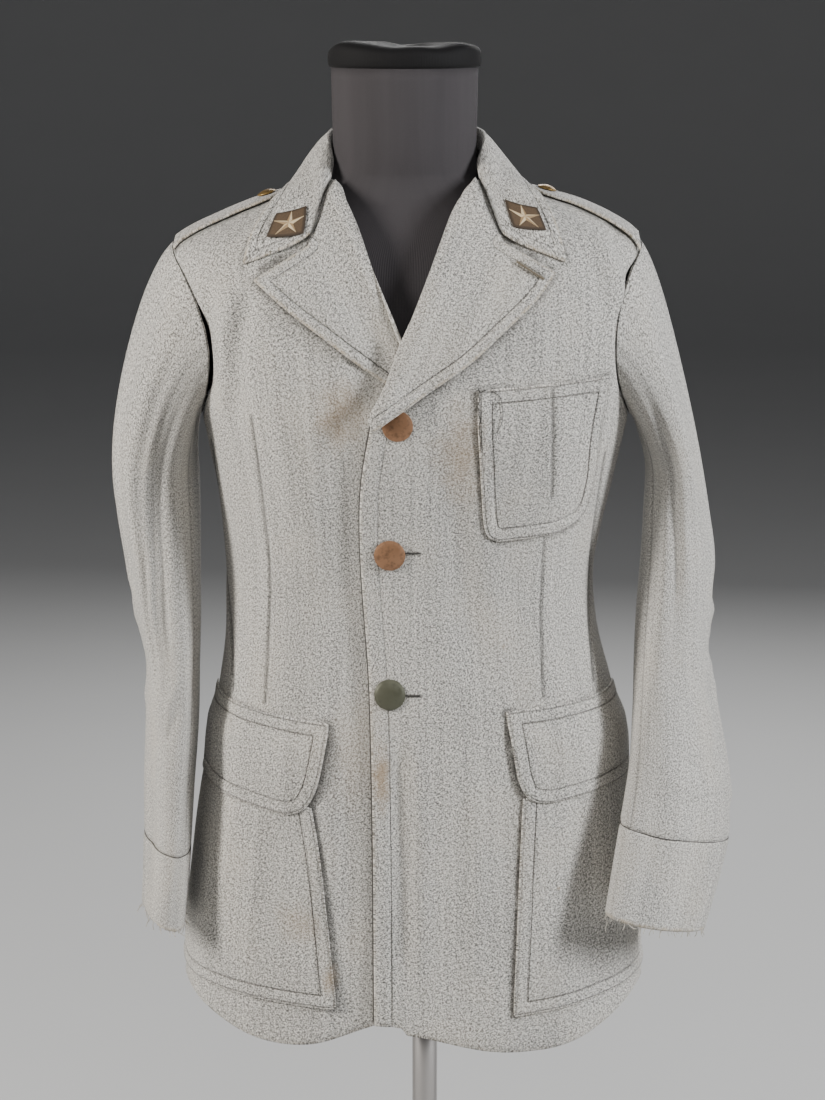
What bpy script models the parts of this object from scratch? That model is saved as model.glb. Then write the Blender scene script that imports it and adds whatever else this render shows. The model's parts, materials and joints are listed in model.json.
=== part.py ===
"""Military tunic on a limbless dress form with a round metal foot.

Metres, +Z up. The front of the tunic faces -Y and the wearer's left is at +X.
The origin is on the floor under the middle of the pole.

Lengths in the tables are millimetres and angles are degrees. An angle on the
body is 0 at the middle of the front, 90 at the wearer's left side, 180 at the
middle of the back and -90 at the wearer's right side.
"""

import math

import bpy
import numpy as np

MM = 0.001

# Driving sizes in millimetres
POLE_X = 16.5            # the garment's middle plane lies this far to the right side
CLOTH = 2.0              # wall of the body and the sleeves
TRIM = 1.6               # wall of collar, lapels, flaps and pockets
SEAM = 0.3               # gap between two pieces at a seam
LAID = 1.1               # room under a piece that lies on a rounded panel
SEWN_CLEAR = 0.5         # the same along a flap's sewn edge
FORM_CLEAR = 14.5        # from the tunic's outside to the dress form, below the shoulders
SHOULDER_CLEAR = 3.6     # the same on the shoulders, which carry the tunic
UNDERLAP = 4.4           # how far the right front lies under the left one
CROSSING = 9.4           # the same where the lapels cross
ARMHOLE_TOP = 1012.0
ARMHOLE_LOW = 858.0
ARMHOLE_SPREAD = 31.0    # degrees to the front and to the back
NECK_SIDE = 1071.0       # height of the shoulder seam's inner end
NECK_BACK = 1082.0       # height of the collar seam at the middle of the back
HEM_FRONT = 300.0
HEM_SIDE = 334.0
HEM_SKEW = 3.0           # the left front hangs lower than the right one
FORM_LOW = 395.0
FORM_NECK_TOP = 1166.0
POLE_RADIUS = 11.8
FOOT_RADIUS = 150.0
FOOT_HEIGHT = 9.0

# Rings of the tunic's body: half widths to the wearer's right and left, depths
# to the front and the back, and how square the ring is.
# Columns: height, right, left, front, back, square
BODY_ROWS = (
    (285, 209, 222, 146, 134, 2.25),
    (335, 207, 219, 144, 132, 2.25),
    (400, 202, 212, 139, 128, 2.28),
    (470, 193, 205, 134, 122, 2.3),
    (550, 181, 199, 128, 112, 2.3),
    (610, 173, 188, 122, 103, 2.3),
    (665, 166, 174, 117, 98, 2.3),
    (715, 165, 169, 116, 98, 2.3),
    (760, 168, 177, 121, 103, 2.3),
    (810, 175, 189, 129, 111, 2.3),
    (860, 186, 201, 134, 119, 2.3),
    (910, 199, 207, 132, 125, 2.25),
    (955, 209, 211, 123, 127, 2.2),
    (990, 214, 213, 109, 122, 2.15),
    (1008, 212, 212, 99, 115, 2.1),
    (1020, 198, 204, 92, 108, 2.05),
    (1032, 174, 187, 86, 100, 2.0),
    (1046, 140, 157, 79, 91, 2.0),
    (1057, 106, 118, 72, 82, 2.0),
    (1066, 84, 88, 66, 74, 2.0),
    (1074, 74, 75, 62, 69, 2.0),
    (1084, 70, 70, 60, 67, 2.0),
    (1112, 70, 69, 62, 68, 2.0),
)

# Rings of the dress form above the chest, where it leaves the tunic's shape
# Columns: height, half wide, front, back
NECK_ROWS = (
    (1066, 71.0, 54, 60),
    (1080, 65.0, 56, 59),
    (1095, 64.0, 58, 60),
    (1115, 64.5, 59, 61),
    (1140, 65.0, 60, 62),
    (1166, 65.5, 60, 62),
)

# Soft folds of the body cloth: where they start and end, how deep (minus is a
# trough), and their half width in degrees.
# Columns: angle, drift, top, low, depth, wide
BODY_FOLDS = (
    (-40, 8, 985, 760, 4.0, 9),
    (-58, 6, 960, 700, -4.0, 9),
    (20, 6, 860, 560, -3.0, 10),
    (6, 0, 600, 300, -3.5, 10),
    (34, 4, 560, 300, 3.0, 10),
    (60, -8, 1005, 860, 3.5, 9),
    (-30, 4, 560, 300, -2.5, 10),
    (-62, 4, 560, 300, 3.0, 10),
    (140, 6, 900, 560, -4.5, 10),
    (-140, -6, 920, 600, -4.5, 10),
    (118, 0, 700, 300, 5.0, 11),
    (-120, 0, 680, 300, 5.0, 11),
    (162, 4, 620, 300, -4.5, 10),
    (-156, 4, 560, 300, 4.0, 10),
)

# Rings of the sleeves: outer and inner edge as the front shows them, middle
# and half depth to front and back, turn of the flat sleeve, slope of the ring.
# Columns: height, outer, inner, middle, deep, turn, slope
RIGHT_SLEEVE = (
    (866, 257, 192, 4, 76, 0, 0.0),
    (806, 268, 190, 2, 74, 2, 0.0),
    (767, 265, 189, 0, 73, 4, 0.0),
    (724, 258, 188, -3, 72, 6, -0.02),
    (680, 252, 188, -6, 70, 8, -0.04),
    (632, 241, 189, -12, 68, 10, -0.06),
    (590, 241, 190, -19, 66, 14, -0.08),
    (533, 242, 193, -30, 63, 18, -0.1),
    (479, 242, 196, -42, 60, 24, -0.14),
    (440, 243, 199, -51, 57, 28, -0.18),
    (406, 244, 202, -58, 55, 30, -0.22),
)
LEFT_SLEEVE = (
    (866, 257, 213, 4, 78, 0, 0.0),
    (806, 269, 217, 2, 76, 4, 0.0),
    (767, 276, 215, 0, 75, 8, 0.0),
    (724, 282, 212, -4, 74, 12, 0.0),
    (680, 281, 209, -9, 71, 16, 0.02),
    (632, 280, 206, -18, 67, 22, 0.06),
    (590, 287, 204, -32, 62, 28, 0.12),
    (545, 295, 200, -50, 56, 34, 0.2),
    (505, 298, 194, -67, 50, 40, 0.28),
    (460, 287, 186, -86, 45, 44, 0.32),
    (411, 271, 177, -104, 41, 46, 0.33),
)
# Columns: around, drift, top, low, depth, wide
RIGHT_SLEEVE_FOLDS = (
    (-100, 20, 960, 560, -6.0, 15),
    (-72, 16, 930, 640, 5.0, 13),
    (-44, 14, 900, 600, -5.5, 13),
    (-130, 10, 860, 420, 4.0, 15),
    (60, -16, 940, 600, -6.0, 16),
    (100, -10, 860, 520, 5.0, 15),
    (-60, 10, 600, 400, -4.0, 16),
)
LEFT_SLEEVE_FOLDS = (
    (-60, -16, 980, 760, 5.0, 12),
    (-90, -14, 900, 600, -4.5, 15),
    (-50, 26, 690, 560, -4.0, 14),
    (-20, 60, 520, 480, -4.0, 20),
    (70, 14, 950, 620, -6.0, 16),
    (110, 10, 820, 480, 5.0, 15),
    (-110, 8, 700, 420, 4.0, 16),
)

# Edge of the wearer's left front, which lies on top, from the hem to the
# lapel's break, and the roll line from there to the collar seam.
# Columns: across, height
LEFT_EDGE = ((-28, 325), (-29, 484), (-32, 630), (-38, 715), (-40, 771), (-38, 815), (-29, 868))
LEFT_ROLL = ((-29, 868), (-17, 895), (-4, 931), (8, 957), (24, 997), (32, 1018), (43, 1046), (56, 1066), (78, 1071))
RIGHT_EDGE = ((12, 325), (12, 484), (11, 630), (10, 715), (10, 771), (10, 830), (12, 880))
RIGHT_ROLL = ((12, 880), (4, 910), (-4, 930), (-21, 971), (-37, 1010), (-46, 1033), (-52, 1047), (-60, 1066), (-78, 1071))

# Seam of collar and lapel, the notch and the free edges, on the front
LEFT_GORGE = ((63, 1071), (71, 1051), (78, 1035), (84, 1021))
LEFT_LAPEL_TOP = ((84, 1020), (106, 1007), (126, 994))
LEFT_LAPEL_EDGE = ((-27, 861), (15, 890), (54, 917), (81, 941), (113, 971), (127, 990))
RIGHT_GORGE = ((-66, 1069), (-72, 1056), (-78, 1038), (-84, 1021))
RIGHT_LAPEL_TOP = ((-84, 1020), (-104, 1008), (-125, 994))
RIGHT_LAPEL_EDGE = ((-7, 892), (-40, 915), (-70, 937), (-102, 960), (-131, 984))
LEFT_COLLAR_FRONT = ((84, 1021), (107, 1012), (138, 1000))
RIGHT_COLLAR_FRONT = ((-84, 1021), (-113, 1009), (-142, 998))

# Collar: angle on the body, heights of its seam and its fold, and the place of
# its outer edge in plan
# Columns: angle, seam, fold, edge across, edge deep
COLLAR_ROWS = (
    (66, 1069.5, 1076, 139, -86),
    (72, 1071, 1085, 134, -76),
    (80, 1072.5, 1095, 125, -60),
    (90, 1073.5, 1104, 114, -38),
    (104, 1074.5, 1109, 104, -8),
    (122, 1078, 1112, 94, 30),
    (145, 1082, 1114, 68, 68),
    (180, 1084, 1115, 0, 90),
    (215, 1082, 1114, -68, 68),
)

# Corners of the collar patches as the front shows them, from the upper one by
# the neck: SEEN_DEEP is the plane they are given on and SEEN_SLOPE the slope of
# the view.
SEEN_DEEP = -80.0
SEEN_SLOPE = 0.185
PATCH = 1.0              # wall of a collar patch
RIGHT_PATCH = ((-88, 1049), (-113, 1042), (-122, 1021), (-90, 1024))
LEFT_PATCH = ((86, 1055), (113, 1047), (121, 1027), (92, 1030))

# Pockets and flaps on the fronts: ends of each row, from the top down. The
# hip pieces run round to the side, so their outer end is an angle.
# Columns: inner, inner height, outer, outer height
BREAST_POCKET = (
    (62, 893, 175, 900),
    (62, 862, 172, 876),
    (64, 830, 168, 846),
    (66, 796, 165, 812),
    (68, 773, 159, 785),
    (72, 763, 149, 770),
    (80, 758, 131, 762),
)
LEFT_FLAP = (
    (89, 604, 86, 612),
    (91, 588, 86, 592),
    (94, 570, 86, 573),
    (98, 546, 86, 552),
    (104, 531, 85, 540),
    (112, 524, 83, 534),
    (126, 521, 80, 531),
)
RIGHT_FLAP = (
    (-70, 594, -88, 610),
    (-71, 580, -88, 590),
    (-74, 562, -88, 572),
    (-79, 540, -88, 551),
    (-85, 526, -87, 540),
    (-93, 516, -85, 533),
    (-106, 511, -82, 530),
)
LEFT_POCKET = (
    (103, 517, 86, 528),
    (101, 478, 86, 490),
    (99, 420, 86, 432),
    (97, 365, 86, 380),
    (96, 336, 86, 352),
    (97, 330, 84, 347),
)
RIGHT_POCKET = (
    (-84, 508, -88, 526),
    (-78, 473, -88, 490),
    (-72, 420, -88, 432),
    (-67, 372, -88, 380),
    (-64, 344, -88, 356),
    (-66, 338, -86, 350),
)

# Buttons on the front edge: place, radius and height of the dome
# Columns: name, across, height, radius, dome, metal, room under it
BUTTONS = (
    ("button_1", -8, 863, 13.5, 3.4, "copper", 0.2),
    ("button_2", -15, 747, 13.8, 4.6, "copper", 0.8),
    ("button_3", -15, 622, 13.8, 4.6, "bronze", 0.3),
)

# Colours and finishes: red, green, blue, roughness, metallic
FINISHES = {
    "wool": (0.42, 0.40, 0.37, 0.9, 0.0),
    "patch": (0.16, 0.10, 0.05, 0.8, 0.0),
    "copper": (0.36, 0.19, 0.10, 0.42, 0.9),
    "bronze": (0.12, 0.12, 0.08, 0.5, 0.8),
    "brass": (0.42, 0.27, 0.10, 0.4, 0.9),
    "jersey": (0.02, 0.02, 0.022, 0.7, 0.0),
    "chrome": (0.55, 0.55, 0.56, 0.12, 1.0),
    "enamel": (0.03, 0.03, 0.03, 0.45, 0.3),
}


def clear_scene():
    for thing in list(bpy.data.objects):
        bpy.data.objects.remove(thing, do_unlink=True)


def parts_collection():
    group = bpy.data.collections.new("military_tunic")
    bpy.context.scene.collection.children.link(group)
    return group


def finish(name):
    red, green, blue, roughness, metallic = FINISHES[name]
    material = bpy.data.materials.get(name) or bpy.data.materials.new(name)
    material.use_nodes = True
    shader = material.node_tree.nodes["Principled BSDF"]
    shader.inputs["Base Color"].default_value = (red, green, blue, 1.0)
    shader.inputs["Roughness"].default_value = roughness
    shader.inputs["Metallic"].default_value = metallic
    return material


def smooth_step(value, low, high):
    t = min(max((value - low) / (high - low), 0.0), 1.0)
    return t * t * (3.0 - 2.0 * t)


def smooth_rows(rows, at, keys=None):
    """Every column of a table at one value of its first, on a smooth curve."""
    keys = keys or [row[0] for row in rows]
    order = 1.0 if keys[-1] > keys[0] else -1.0
    place = 0
    while place < len(keys) - 2 and order * at > order * keys[place + 1]:
        place += 1
    before, start, end, after = (
        rows[max(place - 1, 0)], rows[place], rows[place + 1], rows[min(place + 2, len(rows) - 1)])
    k = [keys[max(place - 1, 0)], keys[place], keys[place + 1], keys[min(place + 2, len(keys) - 1)]]
    span = k[2] - k[1]
    t = min(max((at - k[1]) / span, 0.0), 1.0)
    values = []
    for a, b, c, d in zip(before, start, end, after):
        slope_b = (c - a) / (k[2] - k[0]) * span
        slope_c = (d - b) / (k[3] - k[1]) * span
        values.append(
            (2 * t**3 - 3 * t**2 + 1) * b + (t**3 - 2 * t**2 + t) * slope_b
            + (3 * t**2 - 2 * t**3) * c + (t**3 - t**2) * slope_c)
    return values


def along(points, t):
    """A point at the share t of a smooth line through points, by its length."""
    spans = [0.0]
    for a, b in zip(points, points[1:]):
        spans.append(spans[-1] + math.dist(a, b))
    return smooth_rows(points, t * spans[-1], spans)


def power(value, exponent):
    return math.copysign(abs(value) ** exponent, value)


def body_folds(angle, height):
    """How far the cloth stands out at this place because of its folds."""
    out = 0.0
    for centre, drift, top, low, depth, wide in BODY_FOLDS:
        share = (top - height) / (top - low)
        if 0.0 < share < 1.0:
            away = (angle - centre - drift * share) / wide
            if abs(away) < 3.0:
                out += depth * math.sin(math.pi * share) ** 0.8 * math.exp(-away * away)
    return out


def ring_point(angle, height):
    _, right, left, front, back, square = smooth_rows(BODY_ROWS, height)
    turn = math.radians(angle)
    sine, cosine = math.sin(turn), math.cos(turn)
    wide = left if sine > 0 else right
    deep = front if cosine > 0 else back
    across = wide * power(sine, 2.0 / square)
    forward = -deep * power(cosine, 2.0 / square)
    return np.array((across, forward, height))


def body_normal(angle, height):
    round_it = ring_point(angle + 2.0, height) - ring_point(angle - 2.0, height)
    up_it = ring_point(angle, height + 3.0) - ring_point(angle, height - 3.0)
    normal = np.cross(round_it, up_it)
    return normal / np.linalg.norm(normal)


def body_point(angle, height, out=0.0):
    """A point of the tunic's outside, moved out along the cloth's normal."""
    away = out + body_folds(angle, height)
    return ring_point(angle, height) + body_normal(angle, height) * away


def front_angle(across, height):
    """The angle of the front at a distance from the garment's middle."""
    _, right, left, _, _, square = smooth_rows(BODY_ROWS, height)
    wide = left if across > 0 else right
    share = min(abs(across) / wide, 1.0)
    return math.copysign(math.degrees(math.asin(share ** (square / 2.0))), across)


def top_point(across, deep, out=0.0):
    """A point on the shoulder above a place in plan."""
    low, high = 930.0, 1100.0
    for _ in range(40):
        middle = (low + high) / 2.0
        _, right, left, front, back, square = smooth_rows(BODY_ROWS, middle)
        wide = left if across > 0 else right
        depth = front if deep < 0 else back
        inside = (abs(across) / wide) ** square + (abs(deep) / depth) ** square < 1.0
        low, high = (middle, high) if inside else (low, middle)
    _, right, left, front, back, square = smooth_rows(BODY_ROWS, low)
    depth = front if deep < 0 else back
    cosine = power(min(abs(deep) / depth, 1.0), square / 2.0)
    angle = math.degrees(math.acos(cosine))
    angle = 180.0 - angle if deep > 0 else angle
    return body_point(math.copysign(angle, across), low, out)


def shared_patch(bottom, top, inner, outer, across, shares):
    """A four-sided patch between four lines; each line takes a share 0 to 1."""
    rows = []
    for v in shares:
        row = []
        for i in range(across + 1):
            u = i / across
            corners = (
                (1 - u) * (1 - v) * np.array(bottom(0.0)) + u * (1 - v) * np.array(bottom(1.0))
                + (1 - u) * v * np.array(top(0.0)) + u * v * np.array(top(1.0)))
            row.append(
                (1 - v) * np.array(bottom(u)) + v * np.array(top(u))
                + (1 - u) * np.array(inner(v)) + u * np.array(outer(v)) - corners)
        rows.append(row)
    return np.array(rows)


class Builder:
    """Makes the named solids of the part in one collection."""

    def __init__(self):
        self.group = parts_collection()

    def add(self, name, points, faces, look):
        mesh = bpy.data.meshes.new(name)
        placed = [((x - POLE_X) * MM, y * MM, z * MM) for x, y, z in points]
        mesh.from_pydata(placed, [], faces)
        mesh.materials.append(finish(look))
        mesh.shade_smooth()
        thing = bpy.data.objects.new(name, mesh)
        self.group.objects.link(thing)
        return thing

    def sheet(self, name, grid, thick, look, side=-1.0, flip=False, round_it=False):
        """An open sheet of cloth with Solidify as its wall."""
        up, across = grid.shape[0], grid.shape[1]
        faces = []
        for j in range(up - 1):
            for i in range(across if round_it else across - 1):
                k = (i + 1) % across
                face = (j * across + i, j * across + k, (j + 1) * across + k, (j + 1) * across + i)
                faces.append(face[::-1] if flip else face)
        thing = self.add(name, grid.reshape(-1, 3), faces, look)
        wall = thing.modifiers.new("wall", "SOLIDIFY")
        wall.thickness = thick * MM
        wall.offset = side
        wall.use_even_offset = False
        return thing

    def wall(self, name, outside, inside, look, flip=False):
        """A closed wall between two grids that meet their neighbours squarely."""
        up, across = outside.shape[0], outside.shape[1]
        count = up * across

        def at(j, i, layer):
            return layer * count + j * across + i

        faces = []
        for j in range(up - 1):
            for i in range(across - 1):
                faces.append((at(j, i, 0), at(j, i + 1, 0), at(j + 1, i + 1, 0), at(j + 1, i, 0)))
                faces.append((at(j, i, 1), at(j + 1, i, 1), at(j + 1, i + 1, 1), at(j, i + 1, 1)))
        for i in range(across - 1):
            faces.append((at(0, i, 1), at(0, i + 1, 1), at(0, i + 1, 0), at(0, i, 0)))
            last = up - 1
            faces.append((at(last, i, 0), at(last, i + 1, 0), at(last, i + 1, 1), at(last, i, 1)))
        for j in range(up - 1):
            faces.append((at(j, 0, 0), at(j + 1, 0, 0), at(j + 1, 0, 1), at(j, 0, 1)))
            last = across - 1
            faces.append((at(j, last, 1), at(j + 1, last, 1), at(j + 1, last, 0), at(j, last, 0)))
        if flip:
            faces = [face[::-1] for face in faces]
        points = np.concatenate((outside.reshape(-1, 3), inside.reshape(-1, 3)))
        return self.add(name, points, faces, look)

    def loft(self, name, rings, look):
        """A solid through closed rings, with a fan at each end."""
        count = len(rings[0])
        points = [point for ring in rings for point in ring]
        faces = []
        for j in range(len(rings) - 1):
            for i in range(count):
                k = (i + 1) % count
                faces.append((j * count + i, j * count + k, (j + 1) * count + k, (j + 1) * count + i))
        for ring, turn in ((0, -1), (len(rings) - 1, 1)):
            points.append(np.mean(np.array(rings[ring]), axis=0))
            middle = len(points) - 1
            for i in range(count):
                k = (i + 1) % count
                face = (ring * count + i, ring * count + k, middle)
                faces.append(face[::turn])
        return self.add(name, points, faces, look)

    def turned(self, name, profile, place, look, normal=(0.0, 0.0, 1.0), steps=16):
        """A turned piece: a profile of radius and height, from the top down."""
        mesh = bpy.data.meshes.new(name)
        points = [(radius * MM, 0.0, height * MM) for radius, height in profile]
        mesh.from_pydata(points, [(i, i + 1) for i in range(len(points) - 1)], [])
        mesh.materials.append(finish(look))
        thing = bpy.data.objects.new(name, mesh)
        self.group.objects.link(thing)
        screw = thing.modifiers.new("turn", "SCREW")
        screw.steps = steps
        screw.render_steps = steps
        screw.use_merge_vertices = True
        screw.merge_threshold = 0.00005
        screw.use_smooth_shade = True
        thing.location = ((place[0] - POLE_X) * MM, place[1] * MM, place[2] * MM)
        up = np.array((0.0, 0.0, 1.0))
        way = np.array(normal) / np.linalg.norm(normal)
        axis = np.cross(up, way)
        if np.linalg.norm(axis) > 1e-6:
            thing.rotation_mode = "AXIS_ANGLE"
            axis = axis / np.linalg.norm(axis)
            thing.rotation_axis_angle = (math.acos(float(up @ way)), *axis)
        return thing


def hem_height(angle):
    """The hem is lower in front and rises again at the two front corners."""
    rise = smooth_step(abs(angle), 30.0, 82.0)
    front = HEM_FRONT + (HEM_SKEW if angle < 0 else -HEM_SKEW)
    return front + (HEM_SIDE - front) * rise


def side_angle(height):
    """The side seam runs from under the arm, a little back towards the hem."""
    return 90.0 + 7.0 * smooth_step(ARMHOLE_LOW - height, 0.0, 500.0)


def armhole_place(turn):
    """Angle and height on the body; turn 0 is the shoulder, 90 the back."""
    middle = (ARMHOLE_TOP + ARMHOLE_LOW) / 2.0
    half = (ARMHOLE_TOP - ARMHOLE_LOW) / 2.0
    spin = math.radians(turn)
    return 90.0 + ARMHOLE_SPREAD * math.sin(spin), middle + half * math.cos(spin)


ARMPIT_SHARE = 0.5       # of a panel's rows lies below the armhole
ARMHOLE_STATIONS = 12    # straight runs of the armhole seam on each panel
BACK_SEAM_SHARE = 0.8    # of a back's rows end on the middle seam, the rest on the neck
BACK_DIP = 4.0           # the hem is this much lower at the middle of the back


def outer_line(share, side, way):
    """Side seam, then armhole; way is -1 on a front and 1 on a back."""
    if share < ARMPIT_SHARE:
        height = HEM_SIDE + (ARMHOLE_LOW - HEM_SIDE) * share / ARMPIT_SHARE
        return side * side_angle(height), height
    station = (share - ARMPIT_SHARE) / (1.0 - ARMPIT_SHARE) * ARMHOLE_STATIONS
    first = min(int(station + 1e-6), ARMHOLE_STATIONS - 1)
    step = 180.0 / ARMHOLE_STATIONS
    angle_a, height_a = armhole_place(way * (180.0 - step * first))
    angle_b, height_b = armhole_place(way * (180.0 - step * (first + 1)))
    t = station - first
    return side * (angle_a + (angle_b - angle_a) * t), height_a + (height_b - height_a) * t


def front_panel_line(points_low, points_high, share):
    """Front edge below the break, roll line above it, as angle and height."""
    if share < ARMPIT_SHARE:
        across, height = along(points_low, share / ARMPIT_SHARE)
    else:
        across, height = along(points_high, (share - ARMPIT_SHARE) / (1.0 - ARMPIT_SHARE))
    return front_angle(across, height), height


def underlap_depth(across, height):
    """How far inside the right front lies, so that the left front covers it."""
    deep = UNDERLAP + (CROSSING - UNDERLAP) * smooth_step(height, 845.0, 905.0)
    edge = -40.0 + 26.0 * smooth_step(height, 850.0, 900.0) - 40.0 * smooth_step(height, 930.0, 1000.0)
    fade = 1.0 - smooth_step(height, 940.0, 1030.0)
    return -deep * smooth_step(across, edge - 45.0, edge - 6.0) * fade


def inset_grid(grid, gap):
    """Draws a grid of angle and height in by a gap in millimetres all round."""
    result = grid.copy()
    up, across = grid.shape[0], grid.shape[1]
    places = np.array([[ring_point(a, h) for a, h in row] for row in grid])
    for j in range(up):
        for ends, step in ((0, 1), (across - 1, across - 2)):
            length = np.linalg.norm(places[j, step] - places[j, ends])
            result[j, ends] += (grid[j, step] - grid[j, ends]) * gap / length
    for i in range(across):
        for ends, step in ((0, 1), (up - 1, up - 2)):
            length = np.linalg.norm(places[step, i] - places[ends, i])
            result[ends, i] += (grid[step, i] - grid[ends, i]) * gap / length
    return result


def panel_shares(below):
    """Shares of a panel's height for its rows, closer near the neck."""
    shares = [ARMPIT_SHARE * j / below for j in range(below)]
    above = 1.0 - ARMPIT_SHARE
    shares += [ARMPIT_SHARE + above * j / ARMHOLE_STATIONS for j in range(ARMHOLE_STATIONS)]
    shares += [1.0 - above / ARMHOLE_STATIONS * part for part in (0.6, 0.3, 0.0)]
    return shares


def even_shares(count):
    return [j / count for j in range(count + 1)]


def front_grid(side, low, high, across):
    """A front from its edge to side seam, armhole and shoulder seam."""

    def inner(share):
        return front_panel_line(low, high, share)

    def outer(share):
        return outer_line(share, side, -1)

    start = inner(0.0)
    corner_rise = low[0][1] - hem_height(start[0])

    def bottom(share):
        angle = start[0] + (outer(0.0)[0] - start[0]) * share
        rise = corner_rise * (1.0 - smooth_step(share, 0.0, 0.34)) ** 1.6
        return angle, hem_height(angle) + rise

    neck = inner(1.0)
    tip = outer(1.0)

    def top(share):
        return neck[0] + (tip[0] - neck[0]) * share, neck[1] + (tip[1] - neck[1]) * share

    grid = shared_patch(bottom, top, inner, outer, across, panel_shares(11))
    return inset_grid(grid, SEAM / 2.0)


def back_grid(side, across):
    """A back half from the middle seam to side seam, armhole and shoulder."""
    low = HEM_SIDE - BACK_DIP

    def inner(share):
        if share < BACK_SEAM_SHARE:
            return side * 180.0, low + (NECK_BACK - low) * share / BACK_SEAM_SHARE
        t = (share - BACK_SEAM_SHARE) / (1.0 - BACK_SEAM_SHARE)
        return side * (180.0 - 90.0 * t), NECK_BACK - (NECK_BACK - NECK_SIDE) * smooth_step(t, 0.1, 1.0)

    def outer(share):
        return outer_line(share, side, 1)

    first = outer(0.0)
    tip = outer(1.0)

    def bottom(share):
        return side * 180.0 + (first[0] - side * 180.0) * share, low + BACK_DIP * share

    def top(share):
        return side * 90.0, NECK_SIDE + (tip[1] - NECK_SIDE) * share

    grid = shared_patch(bottom, top, inner, outer, across, panel_shares(9))
    return inset_grid(grid, SEAM / 2.0)


def make_panels(build):
    """Two fronts and two backs, walls that share their seams' directions."""
    panels = (
        ("front_left", front_grid(1, LEFT_EDGE, LEFT_ROLL, 10), 1),
        ("front_right", front_grid(-1, RIGHT_EDGE, RIGHT_ROLL, 11), -1),
        ("back_left", back_grid(1, 9), 1),
        ("back_right", back_grid(-1, 9), -1),
    )
    for name, grid, side in panels:
        layers = []
        for depth in (0.0, -CLOTH):
            rows = []
            for row in grid:
                line = []
                for angle, height in row:
                    out = depth
                    if name == "front_right":
                        out += underlap_depth(ring_point(angle, height)[0], height)
                    line.append(body_point(angle, height, out))
                rows.append(line)
            layers.append(np.array(rows))
        turned_over = name in ("front_right", "back_left")
        build.wall(name, layers[0], layers[1], "wool", flip=turned_over)


def sleeve_fold(folds, turn, height):
    out = 0.0
    for centre, drift, top, low, depth, wide in folds:
        share = (top - height) / (top - low)
        if 0.0 < share < 1.0:
            away = (turn - centre - drift * share + 180.0) % 360.0 - 180.0
            out += depth * math.sin(math.pi * share) ** 0.8 * math.exp(-(away / wide) ** 2)
    return out


def sleeve_ring_point(rows, folds, side, turn, height):
    """A point of the hanging sleeve; turn 0 is its outer side, 90 its back."""
    _, outer, inner, middle, deep, skew, slope = smooth_rows(rows, height)
    spin = math.radians(turn)
    out = sleeve_fold(folds, turn, height)
    half = (outer - inner) / 2.0 + out
    across = half * math.cos(spin)
    lean = math.radians(skew)
    deep_out = deep + out
    forward = middle + deep_out * math.sin(spin + lean)
    centre = (outer + inner) / 2.0
    return np.array((side * (centre + across), forward, height - slope * across))


HANG_TOP = 800.0         # below this height the sleeve hangs free


def sleeve_point(rows, folds, side, turn, share):
    """A point of the whole sleeve; share 0 is the armhole and 1 the cuff seam."""
    angle, height = armhole_place(turn)
    angle *= side
    start = body_point(angle, height)
    normal = body_normal(angle, height)
    crown = (1.0 + math.cos(math.radians(turn))) / 2.0
    outward = np.array((side * 1.0, 0.0, -0.34 - 0.5 * (1.0 - crown)))
    leave = outward - normal * float(outward @ normal) * crown * 0.9
    leave /= np.linalg.norm(leave)
    start = start + leave * (SEAM + 0.35)
    end = sleeve_ring_point(rows, folds, side, turn, HANG_TOP)
    below = sleeve_ring_point(rows, folds, side, turn, HANG_TOP - 12.0)
    down = (below - end) / np.linalg.norm(below - end)
    reach = np.linalg.norm(end - start)
    t = share
    pull_start = leave * reach * (0.5 + 0.06 * crown)
    pull_end = down * reach * (0.95 - 0.05 * crown)
    return (
        (2 * t**3 - 3 * t**2 + 1) * start + (t**3 - 2 * t**2 + t) * pull_start
        + (3 * t**2 - 2 * t**3) * end + (t**3 - t**2) * pull_end)


CUFF_SEAM = {1: 486.0, -1: 470.0}


def make_sleeves(build):
    around, head, hanging = 24, 7, 13
    for side, name, rows, folds in (
            (1, "left", LEFT_SLEEVE, LEFT_SLEEVE_FOLDS), (-1, "right", RIGHT_SLEEVE, RIGHT_SLEEVE_FOLDS)):
        turns = [360.0 * i / around for i in range(around)]
        grid = []
        for j in range(head):
            grid.append([sleeve_point(rows, folds, side, turn, j / head) for turn in turns])
        seam = CUFF_SEAM[side]
        for j in range(hanging + 1):
            height = HANG_TOP + (seam + SEAM - HANG_TOP) * j / hanging
            grid.append([sleeve_ring_point(rows, folds, side, turn, height) for turn in turns])
        build.sheet("sleeve_" + name, np.array(grid), CLOTH, "wool", flip=side > 0, round_it=True)
        low = rows[-1][0]
        cuff = []
        for j in range(4):
            height = seam - SEAM + (low - seam + SEAM) * j / 3
            cuff.append([sleeve_ring_point(rows, folds, side, turn, height) for turn in turns])
        build.sheet("cuff_" + name, np.array(cuff), CLOTH + 0.6, "wool", flip=side > 0, round_it=True)


def roll_lift(across_share, width, lift, laid):
    """Height of a lapel's middle over the panel: high at the roll, then flat."""
    inward = across_share * width
    return laid + lift * math.exp(-((inward - 9.0) / 9.0) ** 2)


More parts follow.
